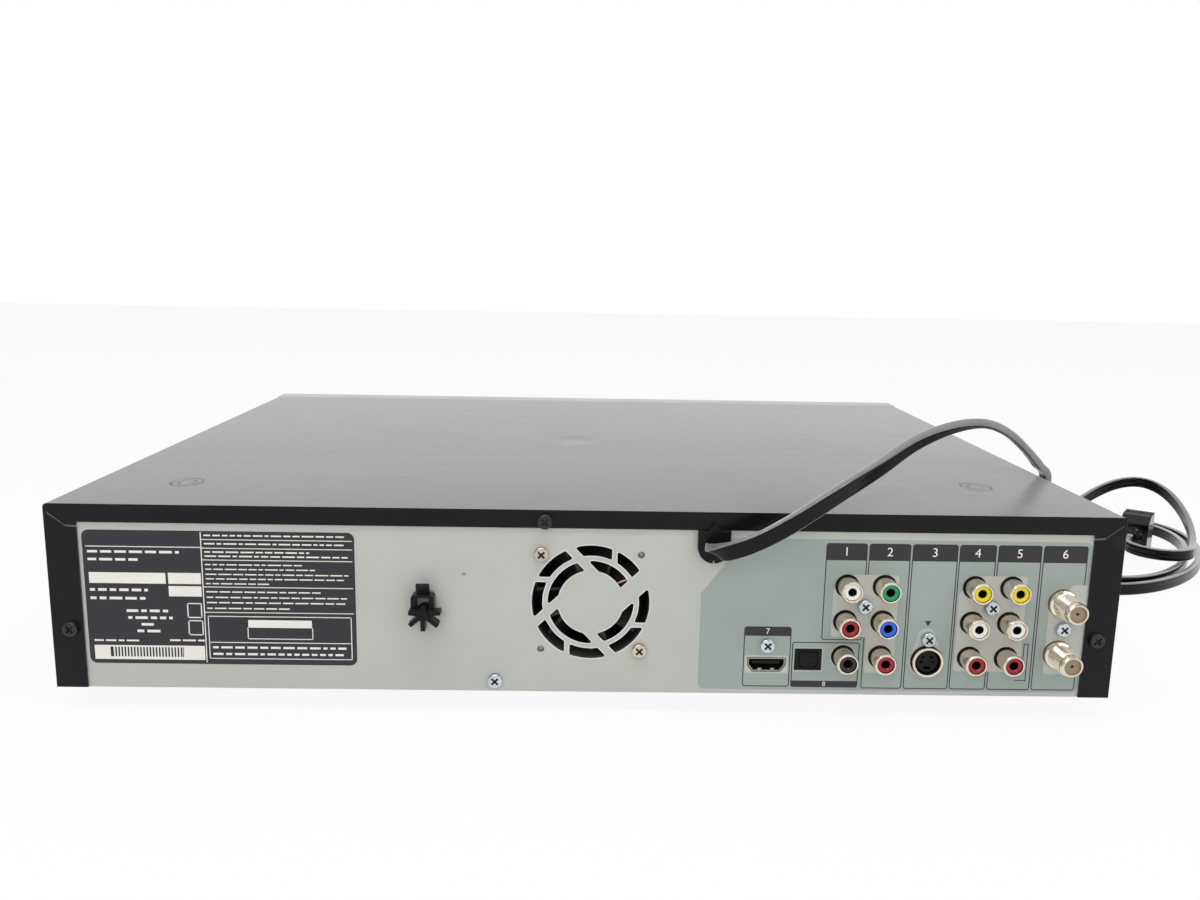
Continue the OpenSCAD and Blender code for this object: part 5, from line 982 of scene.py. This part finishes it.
def frame_of(x0, x1, z0, z1, w=0.35):
    """Four thin bars round a box, its corners in mm."""
    return [(x0, x1, z0, z0 - w), (x0, x1, z1 + w, z1), (x0, x0 - w, z0, z1),
            (x1 + w, x1, z0, z1)]


def short_bars(rng, x0, x1, z, tall):
    """A row of short bars of uneven length, from x0 towards -X."""
    out, x = [], x0
    while x > x1 + 1.2:
        n = min(rng.uniform(1.6, 5.4), x - x1)
        out.append((x, x - n, z + tall / 2, z - tall / 2))
        x -= n + tall * 0.9 + 0.25
    return out


rng = random.Random(5)
white = [(199.2, 168.9, 57.4, 52.9), (167.9, 154.9, 57.5, 52.9), (167.9, 154.9, 52.0, 47.7)]
# a box with an even row of bars: white between them
white += [(199.0, 154.8, 26.9, 26.2), (199.0, 154.8, 22.1, 20.9), (199.0, 192.7, 26.2, 22.1),
          (163.7, 154.8, 26.2, 22.1)]
white += [(192.7 - 1.25 * k, 192.7 - 1.25 * k - 0.6, 26.2, 22.1) for k in range(1, 24)]
white += [(199.8, 154.5, 68.3, 67.95), (154.4, 154.0, 74.4, 19.9)]
white += [(154.0, 94.5, z + 0.17, z - 0.17) for z in (71.4, 67.85, 63.0, 51.8, 41.2)]
white += frame_of(161.0, 155.1, 45.0, 38.7, 0.45) + frame_of(160.9, 154.9, 37.8, 31.4, 0.45)
white += frame_of(153.0, 95.4, 39.7, 21.5) + [(153.0, 95.4, 28.7, 28.35)]
white += frame_of(137.3, 111.0, 38.5, 30.0) + [(137.3, 111.0, 38.5, 34.9)]
bars = []
for x0, x1, z, tall in [
        (199.2, 163.0, 66.0, 1.0), (199.2, 179.5, 62.8, 1.0), (199.2, 176.2, 50.2, 1.1),
        (199.2, 177.0, 46.7, 1.1), (185.2, 166.7, 41.5, 1.1), (184.7, 167.0, 38.6, 1.1),
        (179.6, 172.3, 35.8, 1.1), (181.4, 170.2, 33.0, 1.1), (198.8, 181.0, 28.9, 0.7),
        (168.6, 154.7, 29.2, 0.7), (153.0, 95.6, 73.1, 0.6), (153.0, 97.8, 69.7, 0.6),
        (153.0, 111.5, 66.3, 0.6), (153.0, 96.3, 64.6, 0.6), (153.0, 113.3, 61.1, 0.5),
        (153.0, 108.8, 59.2, 0.5), (153.0, 96.2, 57.1, 0.5), (153.0, 96.3, 55.2, 0.5),
        (153.0, 127.3, 53.2, 0.5), (153.0, 107.5, 49.8, 0.55), (153.0, 97.0, 47.5, 0.55),
        (153.0, 97.1, 45.3, 0.55), (153.0, 120.0, 42.9, 0.55), (151.5, 97.2, 26.4, 0.9),
        (151.5, 97.0, 23.6, 0.9)]:
    bars += short_bars(rng, x0, x1, z, tall)
bm = bmesh.new()
for sides_mm in white + bars:
    add_box(bm, *sides_mm, PANEL_Y + 0.00007)
label_lines = piece("label_frames", bm)
label_ink = finish("label_ink", lin(236, 233, 225), 0.45, mottle=0.03, dust=0.0)
label_lines.data.materials.append(label_ink)
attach(label_lines, "case")
print("plain bars and frames on the plate:", len(white) + len(bars))

# %% [markdown]
# Each socket group has a plain number in its bar. A text object gives the figures' outlines,
# and becomes a mesh before it is turned and placed.

# %% Numbers over the socket groups
bm = bmesh.new()
spots = [(x, 69.7, 5.2) for x in (-103.2, -120.7, -138.9, -156.2, -173.2, -191.7)]
spots += [(-73.0, 35.8, 3.6), (-97.0, 13.4, 2.8)]
for k, (x, z, size) in enumerate(spots):
    text = bpy.data.curves.new("number", "FONT")
    text.body = str(k + 1)
    text.size = size * MM
    text.align_x = "CENTER"
    text.align_y = "CENTER"
    holder = bpy.data.objects.new("number", text)
    scene.collection.objects.link(holder)
    seen = holder.evaluated_get(bpy.context.evaluated_depsgraph_get())
    flat_mesh = bpy.data.meshes.new_from_object(seen)
    bpy.data.objects.remove(holder)
    bpy.data.curves.remove(text)
    flat_mesh.transform(Matrix((
        (-1, 0, 0, x * MM), (0, 0, 1, PANEL_Y + 0.00006), (0, 1, 0, z * MM), (0, 0, 0, 1))))
    bm.from_mesh(flat_mesh)
    bpy.data.meshes.remove(flat_mesh)
numbers = piece("group_numbers", bm)
numbers.data.materials.append(label_ink)
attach(numbers, "case")
print("numbers", len(numbers.data.polygons), "faces")

# %% [markdown]
# ## Metal parts of the sockets
# A pressed ring round the round video socket, and the screw thread of the two aerial connectors.
# Both are turned shapes, so one function spins a profile. The thread is a row of even ridges: a
# real helix would look the same at this size.

# %% Turned parts
PITCH, RIDGES = 0.8, 11


def turned_piece(name, profile, places):
    """Spins a closed profile of (radius, y) in mm about the Y axis at each (x, z)."""
    bm = bmesh.new()
    for x, z in places:
        verts = [bm.verts.new((r0 * MM, 0, y0 * MM)) for r0, y0 in profile]
        edges = [bm.edges.new((u, v)) for u, v in zip(verts, verts[1:] + verts[:1])]
        bmesh.ops.spin(bm, geom=verts + edges, cent=(0, 0, 0), axis=(0, 0, 1),
                       angle=2 * pi, steps=48, use_merge=True)
        new = [v for v in bm.verts if v.is_valid and not v.tag]
        bmesh.ops.rotate(bm, verts=new, cent=(0, 0, 0),
                         matrix=Matrix.Rotation(radians(-90), 3, "X"))
        bmesh.ops.translate(bm, verts=new, vec=(x * MM, 0, z * MM))
        for v in new:
            v.tag = True
    bmesh.ops.recalc_face_normals(bm, faces=bm.faces)
    return piece(name, bm)


ring_ob = turned_piece("video_socket_ring", [
    (5.35, 160.4), (5.35, 162.3), (6.25, 162.3), (6.25, 160.4)], [(-138.7, 23.9)])
ridges = [(4.5, 163.1)]
for k in range(RIDGES):
    ridges += [(r0, y0 + PITCH * k) for r0, y0 in (
        (4.72, 163.2), (4.9, 163.45), (4.9, 163.6), (4.72, 163.85))]
thread = turned_piece("aerial_thread", ridges + [(4.5, 171.95)], AERIALS)
for ob in (ring_ob, thread):
    ob.data.materials.append(nickel)
    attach(ob, "case")
print("turned parts:", len(ring_ob.data.polygons), "and", len(thread.data.polygons), "faces")

# %% [markdown]
# A glimpse of the fan's lead: one copper-coloured strand that passes behind the broad bar of the
# grille. It is a short swept tube that lies against the fan's strut, clear of the blades.

# %% Fan lead
LEAD_R = 0.0004
lead_round = [(LEAD_R * cos(radians(a)), LEAD_R * sin(radians(a)))
              for a in range(0, 360, 45)]
pts = [Vector((FAN_X - 10.6 - 2.4 * j, 158.75 - 0.1 * (j % 2), FAN_Z + 7.7 + 1.0 * j)) * MM
       for j in range(6)]
wire = flat_tube("fan_lead", dense(pts, 3), [Vector((0, 1, 0))] * 16, lead_round)
wire.data.materials.append(finish("lead_copper", lin(222, 160, 128), 0.3, metal=0.5, dust=0.0))
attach(wire, "case")
print("fan lead of", len(pts), "points")

# %% [markdown]
# ## Light and surroundings
# A white sweep all round. To the camera it is plain white; in reflections it fades to grey behind
# the camera, so that glossy things keep some shape. A photograph of a studio would do the same,
# but this needs no picture.

# %% Surroundings
WHITE = (1, 1, 1, 1)
world = bpy.data.worlds.new("studio")
scene.world = world
world.use_nodes = True
w = world.node_tree
w.nodes.clear()
rays = put(w, "ShaderNodeLightPath").outputs
way = put(w, "ShaderNodeTexCoord").outputs["Generated"]
way_y = put(w, "ShaderNodeSeparateXYZ", {0: way}).outputs[1]
sweep = put(w, "ShaderNodeMapRange", {
    "Value": way_y, "From Min": -0.25, "From Max": 0.55, "To Min": 1.0, "To Max": 0.34},
    interpolation_type="SMOOTHSTEP").outputs[0]
see = put(w, "ShaderNodeBackground", {"Color": WHITE, "Strength": 1.0})
mirror = put(w, "ShaderNodeBackground", {"Color": WHITE, "Strength": sweep})
give = put(w, "ShaderNodeBackground", {"Color": (0.98, 0.985, 1, 1),
                                       "Strength": times(w, sweep, 0.72)})
seen_in = most(w, rays["Is Glossy Ray"], rays["Is Transmission Ray"])
inner = put(w, "ShaderNodeMixShader", {0: seen_in, 1: give.outputs[0], 2: mirror.outputs[0]})
mix = put(w, "ShaderNodeMixShader", {0: rays["Is Camera Ray"], 1: inner.outputs[0],
                                     2: see.outputs[0]})
put(w, "ShaderNodeOutputWorld", {0: mix.outputs[0]})
print("surroundings:", len(w.nodes), "nodes")

# %% [markdown]
# The floor is nearly all plain white to the camera and in reflections, with a little real
# shading left in it, and a pale matt sheet to all other light. So the object keeps a soft shade
# underneath without a grey table in the picture.

# %% Floor
bm = bmesh.new()
bmesh.ops.create_grid(bm, x_segments=1, y_segments=1, size=3.0)
bmesh.ops.translate(bm, verts=bm.verts, vec=(0, 0, -0.0002))
floor = piece("floor", bm)
floor_white = bpy.data.materials.new("floor_white")
floor_white.use_nodes = True
t = floor_white.node_tree
t.nodes.clear()
rays = put(t, "ShaderNodeLightPath").outputs
glow = put(t, "ShaderNodeEmission", {"Color": WHITE, "Strength": 1.0})
matt = put(t, "ShaderNodeBsdfDiffuse", {"Color": (0.95, 0.95, 0.95, 1)})
shown = most(t, rays["Is Camera Ray"],
             most(t, rays["Is Glossy Ray"], rays["Is Transmission Ray"]))
both = put(t, "ShaderNodeMixShader", {0: times(t, shown, 0.9), 1: matt.outputs[0],
                                      2: glow.outputs[0]})
put(t, "ShaderNodeOutputMaterial", {0: both.outputs[0]})
floor.data.materials.append(floor_white)
print("floor", tuple(round(v, 1) for v in floor.dimensions))

# %% [markdown]
# Three soft lamps: the key high up behind the camera on the left, a weaker one on the right, and
# a narrow strip overhead whose reflection draws the cover and the cord. One large lamp alone
# would leave the sides of the sockets flat.

# %% Lamps


def soft_light(name, where, at, size, power):
    data = bpy.data.lights.new(name, "AREA")
    data.shape = "RECTANGLE"
    data.size, data.size_y = size
    data.energy = power
    ob = bpy.data.objects.new(name, data)
    scene.collection.objects.link(ob)
    ob.location = where
    ob.rotation_euler = (Vector(at) - Vector(where)).to_track_quat("-Z", "Y").to_euler()
    print(name, "lamp at", where, "with", power, "W")


soft_light("key", (0.5, 1.8, 1.1), (0, 0.1, 0.04), (1.2, 0.9), 10)
soft_light("fill", (-1.1, 1.3, 0.6), (-0.05, 0.1, 0.05), (1.0, 0.8), 4)
soft_light("overhead", (0, 0.55, 1.3), (0, 0.2, 0), (1.8, 0.12), 8)
